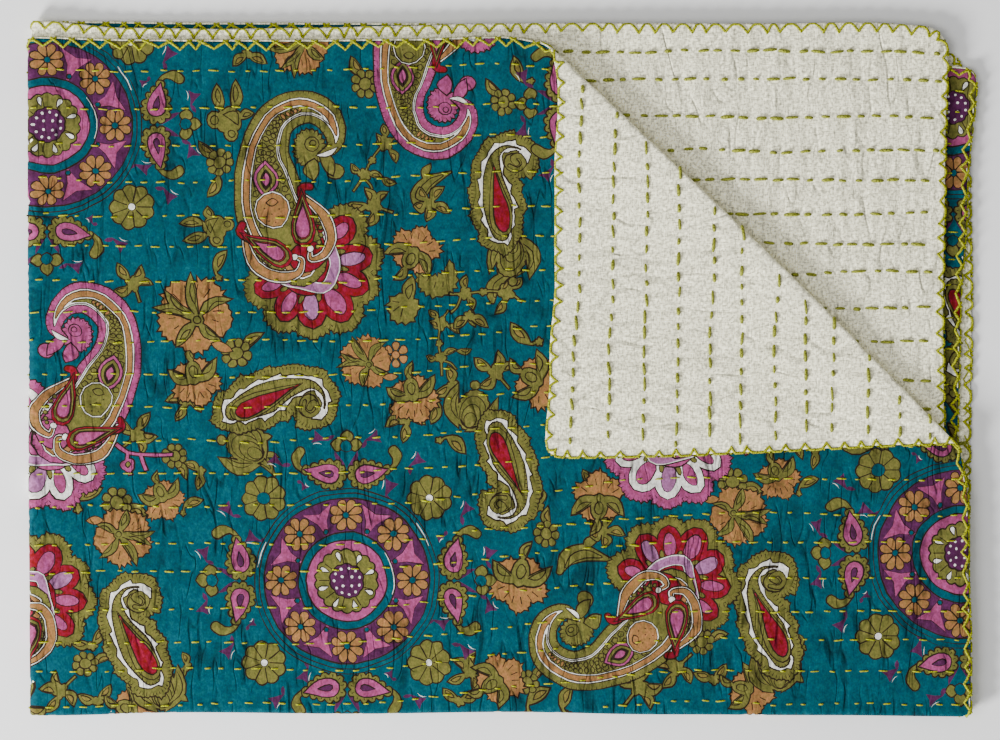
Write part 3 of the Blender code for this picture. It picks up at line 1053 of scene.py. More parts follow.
# One repeat of the print: where each motif's middle is, in millimetres from the folds,
# how far it is turned, its size beside the drawn one, whether it is mirrored, and at
# which repeats it lies there. The gathers push some motifs off the even repeat.
EVERY = (-2, -1, 0, 1)
PLACE_DEFAULTS = (0, 0.94, False, EVERY)
Place = namedtuple("Place", "motif x y turn size mirror repeats", defaults=PLACE_DEFAULTS)
REPEAT = (
    Place("medallion", 12, 548),
    Place("medallion", 289, 121, repeats=(-2, -1, 0)),
    Place("medallion", 864, 147, repeats=(0,)),
    Place("olive paisley", 245, 468),
    Place("pink paisley", 33, 296, -14, 0.885, True, (-2, -1, 0)),
    Place("pink paisley", 601, 302, 0, 0.885, True, (0,)),
    Place("olive paisley", 556, 90, 116, 0.86, False, (0,)),
    Place("olive paisley", -47, 76, 116, 0.86, False, (-1, 0)),
    Place("pink paisley", 371, 621, 180, 0.88, True),
    Place("small paisley", 94, 68, 5, 0.94, False, (-2, -1, 0)),
    Place("small paisley", 687, 88, 0, 0.94, False, (0,)),
    Place("small paisley", 221, 288, -90),
    Place("small paisley", 435, 484, -16, 0.9),
    Place("small paisley", 437, 225, 180, 0.9),
    Place("bud", 114, 18, 10),
    Place("bud", 194, 243, 60),
    Place("bud", 446, 425, 170),
    Place("bud", 404, 281, -20),
    Place("burst", 147, 370, 0, 1.05),
    Place("burst", 306, 326, 20, 0.72),
    Place("burst", 80, 162, 200, 0.8),
    Place("burst", 245, 622, 90, 0.8),
    Place("thistle", 146, 316, 10, 0.95),
    Place("thistle", 350, 300, 10, 0.95),
    Place("thistle", 349, 423, 150, 0.95),
    Place("oak leaf", 373, 403, 0, 0.76),
    Place("pair", 404, 366, 185, 0.9),
    Place("fan leaf", 343, 380, -5),
    Place("pink stem", 98, 240),
    Place("eared flower", 179, 552, 0, 0.94),
    Place("eared flower", 167, 452, 95, 0.85),
    Place("thistle", 115, 203, 20, 0.8),
    Place("thistle", 525, 190, 175, 1.0),
    Place("cluster", 530, 168, 30, 0.8),
    Place("thistle", 452, 128, -10, 1.1),
    Place("thistle", 425, 24, 120, 0.95),
    Place("thistle", 462, 311, 60, 1.0),
    Place("thistle", 660, 22, 70, 0.9),
    Place("daisy", 306, 586, 180, 1.0),
    Place("daisy", 436, 569, 190),
    Place("daisy", 186, 334, 100, 1.1),
    Place("daisy", 75, 194, 40, 1.05),
    Place("daisy", 45, 44, 80, 0.9),
    Place("daisy", 476, 164, 150, 0.95),
    Place("daisy", 458, 25, 100, 0.85),
    Place("daisy", 128, 238, 0, 0.9),
    Place("blossom", 335, 333, 0, 0.95),
    Place("daisy", 171, 513, 200),
    Place("sprig", 90, 399, 40, 0.9),
    Place("sprig", 138, 290, 160, 0.85),
    Place("sprig", 93, 258, -30, 0.9),
    Place("sprig", 22, 20, 150, 0.9),
    Place("sprig", 343, 273, 180, 0.9),
    Place("sprig", 404, 36, 120, 0.9),
    Place("sprig", 563, 22, -20, 1.1),
    Place("sprig", 428, 316, 60, 0.95),
    Place("sprig", 314, 472, 90, 0.9),
    Place("forked branch", 311, 512, -5, 0.8),
    Place("forked branch", 376, 340, 30, 0.75),
    Place("forked branch", 412, 392, -60, 0.9),
    Place("cluster", 366, 474, 20, 0.85),
    Place("cluster", 22, 205, 10, 0.6),
    Place("horn", 372, 488, 40, 0.9),
    Place("horn", 514, 137, 0, 1.0),
    Place("horn", 205, 228, -40, 0.8),
    Place("horn", 440, 398, 30, 0.8),
    Place("pair", 197, 612, 190, 0.9),
    Place("pair", 187, 238, 60, 0.7),
    Place("pair", 150, 222, 120, 0.8),
    Place("pair", 56, 12, 20, 0.9),
    Place("pair", 138, 40, 80, 0.7),
    Place("pair", 386, 305, 70, 0.9),
    Place("pair", 468, 192, 60, 0.8),
    Place("pair", 395, 10, 0, 0.9),
    Place("pair", 50, 64, 30, 0.9),
    Place("pair", 514, 210, 80, 0.8),
    Place("single", 165, 491, 240, 0.9),
    Place("single", 171, 420, 60, 0.9),
    Place("single", 146, 193, 20, 0.8),
    Place("single", 371, 279, 250, 0.9),
    Place("single", 391, 248, -40, 1.0),
    Place("single", 468, 12, 35, 1.1),
    Place("single", 450, 600, 110, 1.0),
    Place("single", 452, 352, 130, 1.1),
    Place("single", 50, 202, 25, 1.1),
    Place("single", 495, 12, 70, 1.0),
)
REPEAT_STEP = (0.576, 0.020)  # from one repeat to the next: across and up

# Motifs on the strip of the third layer that shows at the right.
LOWER_MOTIFS = (
    Place("medallion", 858, 565),
    Place("small paisley", 868, 360, 180, 0.9),
    Place("daisy", 850, 300),
    Place("sprig", 862, 250, 90),
    Place("olive paisley", 330, 560, 200, 0.9),
)


# ---------------------------------------------------------------- printing


def printed(place, shift=0, turned=1):
    """A motif's (ink, shape) list where it lies on the flat cloth, in metres."""
    scale = place.size / 1000 * np.exp(1j * math.radians(place.turn))
    across = place.x / 1000 + shift * REPEAT_STEP[0] + STACK_ZONE
    up = place.y / 1000 + shift * REPEAT_STEP[1] + PAIR_ZONE
    for ink, shape in MOTIFS[place.motif]():
        if shape is not None:
            shape = -shape.conjugate() if place.mirror else shape
            yield ink, turned * (across + 1j * up + shape * scale)


def underneath(shape):
    """A shape for the underside, where only the larger ones are cut, with fewer points."""
    return shape[::3] if len(shape) > 20 else shape


def worth_cutting(ink, shape):
    """Whether a printed shape is on the cloth and can be seen on the folded quilt."""
    middle, reach = shape.mean(), np.abs(shape - shape.mean()).max()
    u, v = middle.real, middle.imag
    if abs(u) > FULL_ACROSS + reach or abs(v) > FULL_UP + reach:
        return False
    if u > -reach and v > -reach:
        return past_crease(u - STACK_ZONE, v - PAIR_ZONE) < reach + 0.008
    if v > -reach:
        return reach > 0.020 and ink != "outline"
    return u < reach - SHOWN_ACROSS


# How printed lines waver: over what size of cloth, how far, and whether each ink has its
# own way of doing so.
Waver = namedtuple("Waver", "cell reach by_ink")
WAVERS = (Waver(0.019, 0.0010, 0), Waver(0.006, 0.0005, 0), Waver(0.023, 0.0003, 1))


def by_hand(shapes):
    """Printed shapes as hand-cut blocks leave them: wavering, each ink a little off."""
    counts = [len(shape) for _, shape in shapes]
    places = np.concatenate([shape for _, shape in shapes])
    ink = np.repeat([INKS.index(ink) for ink, _ in shapes], counts)
    moved = places.copy()
    for way, first_seed in ((1, 31), (1j, 47)):
        for waver in WAVERS:
            u, v = places.real / waver.cell, places.imag / waver.cell
            moved += way * waver.reach * random_field(u, v, first_seed + waver.by_ink * ink)
    parts = np.split(moved, np.cumsum(counts)[:-1])
    return [(ink, part) for (ink, _), part in zip(shapes, parts)]


BEND_KEPT = 0.00026  # a point that bends a printed line by more than this is kept


def fewer_points(shape):
    """The shape without every second point, where that point scarcely bends the line."""
    before, after = np.roll(shape, 1), np.roll(shape, -1)
    chord = after - before
    bend = np.abs(((shape - before) * np.conj(chord)).imag) / (np.abs(chord) + 1e-9)
    return shape[(np.arange(len(shape)) % 2 == 0) | (bend > BEND_KEPT)]


def whole_print():
    """Every printed shape on the face cloth, in the order of printing."""
    shapes = []
    for place in REPEAT[::-1]:
        for shift in place.repeats:
            shapes += printed(place, shift)
    for place in LOWER_MOTIFS[::-1]:
        shapes += printed(place, turned=-1)
    kept = []
    for ink, shape in shapes:
        if worth_cutting(ink, shape):
            hidden = shape.real.max() < 0 < shape.imag.min()
            kept.append((ink, underneath(shape) if hidden else fewer_points(shape)))
    return by_hand(kept)


def fold_places(outline):
    """Places that carry the two folds and the rolled crease."""
    zone = np.linspace(-1, 1, 9)
    lengthways = np.arange(-FULL_ACROSS, FULL_ACROSS, 0.008)
    upright = np.arange(-FULL_UP, FULL_UP, 0.008)
    bottom = (lengthways[:, None] + 1j * zone * PAIR_ZONE).ravel()
    left = (1j * upright[:, None] + zone * STACK_ZONE).ravel()
    run = np.arange(-0.2, 0.7, 0.005)
    past = np.arange(-0.003, TURN_ZONE + 0.003, 0.0011)
    across = complex(*TURN_ACROSS)
    origin = STACK_ZONE + 1j * PAIR_ZONE + TURN_REACH * across
    crease = (origin + past[:, None] * across - 1j * across * run).ravel()
    crease = crease[(crease.real > 2 * STACK_ZONE) & (crease.imag > 2 * PAIR_ZONE)]
    places = np.concatenate((bottom, left, crease))
    return places[inside(places, grown(outline, -0.0015))]


def scattered(side, fine, coarse):
    """Places over the flat cloth: fine where that side of it is on show."""
    found = []
    for step in (fine, coarse):
        across = np.arange(-FULL_ACROSS, FULL_ACROSS, step)
        up = np.arange(-FULL_UP, FULL_UP, step)
        places = (across + 1j * up[:, None]).ravel()
        u, v = places.real, places.imag
        past = past_crease(np.abs(u) - STACK_ZONE, np.abs(v) - PAIR_ZONE)
        first = (u > 0) & (v > 0)
        if side > 0:
            shown = (first & (past < 0.002)) | ((v < 0) & (u < -SHOWN_ACROSS))
        else:
            shown = first & (past > TURN_ZONE)
            shown |= (u > 0) & (v < 0) & ((past > -UNDER_FLAP) | (v < -SHOWN_UP))
            shown |= (u < -SHOWN_EDGE) & (v > 0)
        rolled = first & (np.abs(past - TURN_ZONE / 2) < TURN_ZONE * 0.6)
        folds = (np.abs(u) < 2 * STACK_ZONE) | (np.abs(v) < 2 * PAIR_ZONE)
        found.append(places[shown if step == fine else ~(shown | rolled | folds)])
    return np.concatenate(found)


def away_from(places, points, cell):
    """The places whose cell of the cloth holds none of the points."""

    def code(p):
        return np.floor(p.real / cell) * 4096 + np.floor(p.imag / cell)

    return places[~np.isin(code(places), code(points))]


ALL_CLOTH = (0.84, 0.59)  # half the size of a rectangle that is cloth all over


def triangulated(points, edges, outline):
    """The triangles between the edges: (places, triangles), none outside the outline."""
    vectors = [Vector((p.real, p.imag)) for p in points * 1000]
    found = delaunay_2d_cdt(vectors, edges, [], 0, 0.08, False)
    flat = np.array([tuple(p) for p in found[0]]) / 1000
    triangles = np.array(found[2])
    middles = flat[triangles].mean(axis=1)
    near_edge = np.flatnonzero((np.abs(middles) > ALL_CLOTH).any(axis=1))
    outside = ~inside(as_complex(middles[near_edge]), outline)
    triangles = np.delete(triangles, near_edge[outside], axis=0)
    used, triangles = np.unique(triangles, return_inverse=True)
    return flat[used], triangles.reshape(-1, 3)


def inks_of(flat, triangles, shapes):
    """The number of the last ink printed over each triangle."""
    middles = as_complex(flat[triangles].mean(axis=1))
    order = np.argsort(middles.real)
    across = middles.real[order]
    found = np.zeros(len(middles), int)
    for ink, shape in shapes:
        low, high = np.searchsorted(across, (shape.real.min(), shape.real.max()))
        some = order[low:high]
        up = middles.imag[some]
        some = some[(up >= shape.imag.min()) & (up <= shape.imag.max())]
        found[some[inside(middles[some], shape)]] = INKS.index(ink)
    return found


def edges_of(triangles):
    """The three edges of each triangle, as pairs of vertices."""
    return np.concatenate([np.roll(triangles, -k, axis=1)[:, :2] for k in range(3)])


def colour_edges(triangles, inks):
    """The edges, each once, that have another ink, or nothing, on their far side."""
    edges, ink = edges_of(triangles), np.tile(inks, 3)
    size = int(triangles.max()) + 1
    codes, other = edges[:, 0] * size + edges[:, 1], edges[:, 1] * size + edges[:, 0]
    order = np.argsort(codes)
    place = np.minimum(np.searchsorted(codes[order], other), len(codes) - 1)
    facing = order[place]
    alone = codes[facing] != other
    differs = alone | ((ink[facing] != ink) & (edges[:, 0] < edges[:, 1]))
    return edges[differs]


def cut_cloth(outline, shapes, places, cell):
    """The flat cloth's places, its triangles and their inks.

    The print is cut once with every shape, and then again along the edges where the ink
    changes, so that what is printed over leaves nothing in the mesh.
    """
    points, edges = [], []
    for shape in (outline, *(shape for _, shape in shapes)):
        start, count = len(points), len(shape)
        points.extend(shape)
        edges.extend((start + i, start + (i + 1) % count) for i in range(count))
    points = np.array(points)
    if shapes:
        flat, triangles = triangulated(points, edges, outline)
        edges = colour_edges(triangles, inks_of(flat, triangles, shapes))
        used, edges = np.unique(edges, return_inverse=True)
        points = as_complex(flat[used])
        edges = edges.reshape(-1, 2).tolist()
    places = away_from(places, points, cell)
    places = places[inside(places, grown(outline, -0.0015))]
    ring = grown(outline, -0.0016)
    points = np.concatenate((points, places, fold_places(outline), ring))
    flat, triangles = triangulated(points, edges, outline)
    return flat, triangles, inks_of(flat, triangles, shapes)


# ---------------------------------------------------------------- sheets


def normals_of(flat, side):
    """The way a cloth's outer surface faces at each place."""
    step = 0.0005
    ways = []
    for way in ((step, 0), (0, step)):
        ahead, behind = flat + np.array(way), flat - np.array(way)
        ways.append(folded(ahead, puffed(ahead, side)) - folded(behind, puffed(behind, side)))
    normal = np.cross(*ways) * side
    return normal / np.linalg.norm(normal, axis=1, keepdims=True)


def boundary_of(triangles):
    """The vertices round the outside of a flat mesh, counter-clockwise."""
    edges = edges_of(triangles)
    size = int(triangles.max()) + 1
    codes = edges[:, 0] * size + edges[:, 1]
    alone = ~np.isin(codes, edges[:, 1] * size + edges[:, 0])
    following = dict(edges[alone])
    first = next(iter(following))
    loop = [first]
    for _ in range(len(following)):
        if following.get(loop[-1], first) == first:
            break
        loop.append(following[loop[-1]])
    if len(loop) != len(following):
        raise RuntimeError("the flat cloth's outline is broken")
    return np.array(loop)


def hold(mesh, label, values):
    """Gives the mesh's points a value each, or a vector each, by name."""
    kind, field = ("FLOAT", "value") if values.ndim == 1 else ("FLOAT_VECTOR", "vector")
    held = mesh.attributes.new(label, kind, "POINT")
    held.data.foreach_set(field, values.astype(np.float32).ravel())


Roll = namedtuple("Roll", "out height")  # one line along a cloth's turned edge


def make_sheet(name, flat, triangles, side, rolls):
    """A cloth as a mesh: its flat triangles folded, and its edge turned in."""
    loop = boundary_of(triangles)
    height = puffed(flat, side)
    height[loop] = rolls[0].height
    outline = as_complex(flat[loop])
    all_flat, heights, faces = [flat], [height], [triangles]
    ring = loop
    for step, roll in enumerate(rolls[1:]):
        moved = grown(outline, roll.out)
        all_flat.append(as_pairs(moved))
        heights.append(np.full(len(loop), roll.height))
        new = len(flat) + step * len(loop) + np.arange(len(loop))
        ahead, new_ahead = np.roll(ring, -1), np.roll(new, -1)
        faces.append(np.stack((ring, new, new_ahead), axis=1))
        faces.append(np.stack((ring, new_ahead, ahead), axis=1))
        ring = new
    all_flat, heights, faces = (np.concatenate(x) for x in (all_flat, heights, faces))
    if side < 0:
        faces = faces[:, ::-1]
    mesh = bpy.data.meshes.new(name)
    mesh.from_pydata(folded(all_flat, heights), [], faces)
    mesh.shade_smooth()
    vertex_normals = np.empty(len(all_flat) * 3, np.float32)
    mesh.vertices.foreach_get("normal", vertex_normals)
    vertex_normals = vertex_normals.reshape(-1, 3)
    body = np.setdiff1d(np.arange(len(flat)), loop)
    vertex_normals[body] = normals_of(flat[body], side)
    mesh.normals_split_custom_set_from_vertices(vertex_normals)
    hold(mesh, "flat_place", np.column_stack((all_flat, np.zeros(len(all_flat)))))
    sheet = bpy.data.objects.new(name, mesh)
    bpy.context.collection.objects.link(sheet)
    return sheet, faces


BAKE_ROOM = (0.01, 0.2, 0.99)  # shares of the map at one end, the fold and the other end


def lay_bake_map(mesh, flat_place):
    """A map that gives most of its room to the quarter of the cloth on show."""
    shares = []
    for axis, full in enumerate((FULL_ACROSS, FULL_UP)):
        reach = full + 0.02
        shares.append(np.interp(flat_place[:, axis], (-reach, 0, reach), BAKE_ROOM))
    layer = mesh.uv_layers.new(name="OFBake")
    corners = np.empty(len(mesh.loops), np.int32)
    mesh.loops.foreach_get("vertex_index", corners)
    shares = np.stack(shares, axis=1)[corners]
    layer.data.foreach_set("uv", shares.ravel().astype(np.float32))


# ---------------------------------------------------------------- materials


def linear(shade):
    """An sRGB hex colour as linear RGBA."""
    parts = [int(shade[i : i + 2], 16) / 255 for i in (1, 3, 5)]
    return (*(p / 12.92 if p <= 0.04045 else ((p + 0.055) / 1.055) ** 2.4 for p in parts), 1.0)


def add(tree, kind, links=(), out=None, **settings):
    """Adds a node and gives back its named output, or else the first one in use.

    links gives its inputs, by name or in order, a value or another node's output.
    """
    node = tree.nodes.new(kind)
    for name, value in settings.items():
        setattr(node, name, value)
    for name, value in (links if isinstance(links, dict) else dict(enumerate(links))).items():
        if isinstance(name, int):
            socket = node.inputs[name]
        else:
            socket = next(s for s in node.inputs if s.name == name and s.enabled)
        if isinstance(value, bpy.types.NodeSocket):
            tree.links.new(value, socket)
        else:
            socket.default_value = value
    return next((s for s in node.outputs if s.enabled and out in (None, s.name)), None)


def new_material(name):
    """An empty material and its node tree."""
    material = bpy.data.materials.new(name)
    material.use_nodes = True
    material.node_tree.nodes.clear()
    return material, material.node_tree


def finish_material(tree, colour, normal, roughness, sheen):
    """Ends a material that shines little, as cloth and thread do."""
    links = {
        "Base Color": colour,
        "Roughness": roughness,
        "Specular IOR Level": 0.12,
        "Sheen Weight": sheen,
        "Sheen Roughness": 0.5,
        "Normal": normal,
    }
    shader = add(tree, "ShaderNodeBsdfPrincipled", links)
    add(tree, "ShaderNodeOutputMaterial", {"Surface": shader})


# A cloudy pattern: the size of one cloud across and up, in metres, how far the pattern is
# turned, how much finer detail it has and how much it is stirred.
Clouds = namedtuple("Clouds", "across up turn detail stirred", defaults=(0.0, 2.0, 0.0))


def clouded(tree, place, clouds):
    """Random values about 0.5 in a cloudy pattern."""
    links = {
        "Vector": place,
        "Rotation": (0, 0, clouds.turn),
        "Scale": (1 / clouds.across, 1 / clouds.up, 1),
    }
    links = {"Vector": add(tree, "ShaderNodeMapping", links), "Scale": 1.0}
    links |= {"Detail": clouds.detail, "Distortion": clouds.stirred}
    return add(tree, "ShaderNodeTexNoise", links)


def wrinkles(tree, place, width, length, turn):
    """Thin pinched creases that run up the cloth here and there: 0 to 1."""
    lines = clouded(tree, place, Clouds(width, length, turn, 1.0, 0.35))
    off_line = add(tree, "ShaderNodeMath", (lines, 0.5), operation="SUBTRACT")
    off_line = add(tree, "ShaderNodeMath", (off_line,), operation="ABSOLUTE")
    sharp = add(tree, "ShaderNodeMapRange", (off_line, 0.0, 0.05, 1.0, 0.0))
    there = clouded(tree, place, Clouds(0.028, 0.046, 0.2, 1.3))
    there = add(tree, "ShaderNodeMapRange", (there, 0.42, 0.58, 0.0, 1.0))
    return add(tree, "ShaderNodeMath", (sharp, there), operation="MULTIPLY")


def shaded(tree, colour, *tones):
    """A colour made darker or lighter by patterns.

    Each tone is a pattern, a low and a high value of it and the shades that they give.
    """
    shade = 1.0
    for tone in tones:
        tone = add(tree, "ShaderNodeMapRange", tone)
        shade = add(tree, "ShaderNodeMath", (shade, tone), operation="MULTIPLY")
    links = {0: colour[:3], "Scale": shade}
    return add(tree, "ShaderNodeVectorMath", links, operation="SCALE")


def raised(tree, *bumps):
    """The way the surface faces once each pattern has raised it by its distance."""
    links = {"Strength": 1.0}
    for height, distance in bumps:
        links |= {"Height": height, "Distance": distance}
        links["Normal"] = add(tree, "ShaderNodeBump", links)
    return links["Normal"]


def printed_cotton(name, ink, uneven):
    """Soft washed voile, block printed and quilted by hand.

    The eye gets a matt, slightly uneven ink, worn paler on the high threads, with thin
    creases where the stitches gather the cloth, darkened by painted shade.
    """
    material, tree = new_material(name)
    place = add(tree, "ShaderNodeAttribute", out="Vector", attribute_name="flat_place")
    creases = wrinkles(tree, place, 0.030, 0.120, 0.12)
    small = wrinkles(tree, place, 0.013, 0.050, -0.15)
    # Voile's yarns lie about 0.3 mm apart: they are drawn 2 mm apart, or none would show.
    threads = clouded(tree, place, Clouds(0.0016, 0.0022))
    dye = clouded(tree, place, Clouds(0.016, 0.020, detail=4.0))
    mottle = clouded(tree, place, Clouds(0.0042, 0.0050, turn=0.4, detail=3.0))
    colour = shaded(
        tree,
        ink,
        (threads, 0.3, 0.7, 0.78, 1.24),
        (dye, 0.3, 0.7, 0.78, 1.22),
        # Painted shade: the creases and the small wrinkles darken the ink where shade would fall
        # in them.
        (creases, 0.0, 1.0, 1.0, 0.58),
        (small, 0.0, 1.0, 1.02, 0.74),
        (mottle, 0.3, 0.7, 1 - uneven, 1 + uneven),
    )
    hue = add(tree, "ShaderNodeMapRange", (mottle, 0.3, 0.7, 0.515, 0.485))
    colour = add(tree, "ShaderNodeHueSaturation", {"Color": colour, "Hue": hue})
    normal = raised(tree, (creases, -0.0010), (small, -0.0008), (threads, 0.00015))
    finish_material(tree, colour, normal, 0.92, 0.02)
    return material


def plain_cotton(name, ink):
    """Unbleached handloom cotton, left plain.

    The eye gets a pale cream with slubs, grey flecks and a few dark specks of husk, and
    soft wrinkles that cross the stitching, with painted shade in their creases.
    """
    material, tree = new_material(name)
    place = add(tree, "ShaderNodeAttribute", out="Vector", attribute_name="flat_place")
    # Handloom yarns lie about 0.5 mm apart: they are drawn 1 mm apart, so that they show.
    warp = clouded(tree, place, Clouds(0.0010, 0.0060, detail=3.0))
    weft = clouded(tree, place, Clouds(0.0055, 0.0011, detail=3.0))
    flecks = clouded(tree, place, Clouds(0.0024, 0.0028))
    husk = clouded(tree, place, Clouds(0.0035, 0.0035, detail=1.3))
    creases = wrinkles(tree, place, 0.024, 0.070, 0.1)
    colour = shaded(
        tree,
        ink,
        (warp, 0.3, 0.7, 0.64, 1.34),
        (weft, 0.3, 0.7, 0.64, 1.34),
        (flecks, 0.38, 0.62, 0.72, 1.32),
        (husk, 0.74, 0.80, 1.0, 0.40),
        # Painted shade: the creases darken the cream where shade would fall in them.
        (creases, 0.0, 1.0, 1.03, 0.84),
    )
    soft = clouded(tree, place, Clouds(0.014, 0.060, turn=0.1))
    weave = add(tree, "ShaderNodeMath", (warp, weft), operation="ADD")
    normal = raised(tree, (soft, 0.0036), (creases, -0.0008), (weave, 0.0002))
    finish_material(tree, colour, normal, 0.95, 0.04)
    return material


def spun_thread(name, ink, dark):
    """Stranded cotton embroidery thread, six loose plies.

    The eye gets short streaks along the strand, the dark ones painted shade between the
    plies, and a slight lustre.
    """
    material, tree = new_material(name)
    place = add(tree, "ShaderNodeTexCoord", out="Object")
    # A ply is about 0.5 mm thick: its streaks are drawn 1.4 mm wide, so that they show.
    plies = clouded(tree, place, Clouds(0.0014, 0.0014))
    # Painted shade: the streaks mix in the dark thread colour, standing in for the shade between
    # the twisted plies.
    streak = add(tree, "ShaderNodeMapRange", (plies, 0.38, 0.62, 0.0, 1.3))
    links = {"Factor": streak, "A": dark, "B": ink}
    colour = add(tree, "ShaderNodeMix", links, data_type="RGBA")
    finish_material(tree, colour, raised(tree, (plies, 0.0003)), 0.6, 0.05)
    return material


# ---------------------------------------------------------------- threads


def surface_of(flat, side, lift):
    """Places that are lifted off a cloth's outer surface."""
    return folded(flat, puffed(flat, side) + side * lift)


def is_shown(flat, side):
    """Whether a stitch at each place on that side of the quilt can be seen."""
    u, v = flat[:, 0], flat[:, 1]
    past = past_crease(np.abs(u) - STACK_ZONE, np.abs(v) - PAIR_ZONE)
    if side > 0:
        return np.where(v > 0, (u < 0) | (past < 0.004), u < -0.835)
    top = np.where(u > 0, past > TURN_ZONE * 0.7, u < -SHOWN_EDGE)
    return np.where(v > 0, top, (u > 0) & ((past > -0.06) | (v < -SHOWN_UP)))


PITCH_UNEVEN = 0.12  # how far a stitch strays along its row, as a share of the pitch
ROW_UNEVEN = 0.0006  # and how far it strays off the row
OFF_FOLD = 0.003  # no stitch is nearer than this to the bottom fold's cloth
OFF_EDGE = 0.007  # or than this to the edge
STITCH_LIFT = 0.0002  # how far a stitch stands off the cloth


def running_stitches(name, side, sizes):
    """One point for each running stitch, with the ways it runs and faces."""
    dice = np.random.default_rng(11 if side > 0 else 12)
    places = []
    for half, rows in ((1, UPPER_ROWS), (-1, LOWER_ROWS)):
        for row in rows:
            start = dice.uniform(0, sizes.stitch_pitch)
            u = np.arange(-FULL_ACROSS - 0.02 + start, FULL_ACROSS + 0.02, sizes.stitch_pitch)
            u = u + dice.uniform(-PITCH_UNEVEN, PITCH_UNEVEN, len(u)) * sizes.stitch_pitch
            v = row_line(row, half, u) + dice.uniform(-ROW_UNEVEN, ROW_UNEVEN, len(u))
            off_fold = np.abs(v) > PAIR_ZONE + OFF_FOLD
            places.append(u[off_fold] + 1j * v[off_fold])
    places = np.concatenate(places)
    places = places[inside(places, grown(cloth_edge(0.010), -OFF_EDGE))]
    flat = as_pairs(places)
    flat = flat[is_shown(flat, side)]
    step = np.array((sizes.stitch_pitch / 4, 0))
    mesh = bpy.data.meshes.new(name)
    places = surface_of(flat, side, STITCH_LIFT)
    # Below z = 0 is what the quilt lies on: the lowest stitches' points stay above it.
    places[:, 2] = np.maximum(places[:, 2], sizes.face_thickness * 0.8)
    mesh.from_pydata(places, [], [])
    hold(mesh, "along", surface_of(flat + step, side, 0) - surface_of(flat - step, side, 0))
    hold(mesh, "up", normals_of(flat, side))
    return mesh


# One stitch over the edge, as shares of the pitch along it, of the depth in from it, of
# the rise from the quilt's middle to its surface, and of the thread's thickness.
EdgePoint = namedtuple("EdgePoint", "run depth rise thick")
FACE_EDGE_STITCH = (
    EdgePoint(-0.10, -0.16, 0.2, 0.8),
    EdgePoint(-0.02, -0.04, 1.0, 0.9),
    EdgePoint(0.14, 0.24, 1.2, 1.1),
    EdgePoint(0.32, 0.60, 1.2, 1.1),
    EdgePoint(0.50, 1.00, 0.75, 0.8),
    EdgePoint(0.68, 0.60, 1.2, 1.1),
    EdgePoint(0.93, 0.22, 1.5, 1.1),
    EdgePoint(1.10, -0.04, 1.1, 0.9),
    EdgePoint(1.20, -0.16, 0.2, 0.8),
)
BACK_EDGE_STITCH = (
    EdgePoint(0.00, 1.00, 0.8, 0.9),
    EdgePoint(0.08, 0.68, 1.15, 1.2),
    EdgePoint(0.17, 0.34, 1.2, 1.2),
    EdgePoint(0.27, 0.06, 1.1, 0.9),
    EdgePoint(0.38, -0.12, 0.6, 0.6),
    EdgePoint(0.62, -0.12, 0.6, 0.6),
    EdgePoint(0.73, 0.06, 1.1, 0.9),
    EdgePoint(0.83, 0.34, 1.2, 1.2),
    EdgePoint(0.92, 0.68, 1.15, 1.2),
    EdgePoint(1.00, 1.00, 0.8, 0.9),
)

SIDE_EDGE_DEPTH = 0.78  # how deep stitches down the sides reach, beside those at the top
SIDE_EDGE_THREAD = 0.72  # and how thick their thread is
FLAP_EDGE_DEPTH = 0.72  # how deep stitches round the turned corner reach
FLAP_EDGE_WIDTH = 0.72  # and how wide they are, with thread along the edge between them
EDGE_PITCH_UNEVEN = 0.22  # how far an edge stitch strays along, as a share of the pitch


def edge_stitches(name, side, sizes):
    """The thread worked over the quilt's edge, as a chain of edges for each stitch."""
    dice = np.random.default_rng(21 if side > 0 else 22)
    outline = cloth_edge(EDGE_STEP)
    length, closed = walked(outline)
    inward = grown(outline, -0.001) - outline
    inward = np.append(inward, inward[0]) / 0.001
    count = int(length[-1] / sizes.edge_pitch)
    pitch = length[-1] / count
    table = FACE_EDGE_STITCH if side > 0 else BACK_EDGE_STITCH
    run, depth, rise, thick = np.array(table).T
    tips = np.arange(count) + dice.uniform(-EDGE_PITCH_UNEVEN, EDGE_PITCH_UNEVEN, count)
    stitches, widths = [], []
    from_tip = np.where(run < 0.5, run, run - 1)
    for start, end in zip(tips, np.append(tips[1:], tips[0] + count)):
        place = (start + run * (end - start)) * pitch
        begun = along_edge(place[0], length, closed)
        flap = side < 0 and min(begun.real, begun.imag) > 0
        if flap:
            place = place - from_tip * (1 - FLAP_EDGE_WIDTH) * (end - start) * pitch
        way = along_edge(place, length, inward)
        down_side = 0 if flap else np.abs(way.real)
        widths.append(thick * (1 - (1 - SIDE_EDGE_THREAD) * down_side))
        share = FLAP_EDGE_DEPTH if flap else 1 - (1 - SIDE_EDGE_DEPTH) * down_side
        deep = sizes.edge_depth * dice.uniform(0.75, 1.2) * share
        here = along_edge(place, length, closed)
        here = here + way * depth * np.where(depth > 0, deep, sizes.edge_depth)
        flat = as_pairs(here)
        over = np.where(rise > 0.7, puffed(flat, side), side * HALF_QUILT)
        stitches.append(folded(flat, over * rise))
    places = np.concatenate(stitches)
    # The middle of the lowest thread stays half its width above z = 0.
    places[:, 2] = np.maximum(places[:, 2], sizes.edge_thickness * 0.5)
    points = range(count * len(table))
    edges = [(point, point + 1) for point in points if (point + 1) % len(table)]
    mesh = bpy.data.meshes.new(name)
    mesh.from_pydata(places, edges, [])
    hold(mesh, "radius", np.concatenate(widths))
    return mesh


# The kinds of the trees' inputs that aren't plain numbers.
INPUT_KINDS = {"Geometry": "Geometry", "Seed": "Int", "Thread": "Material"}


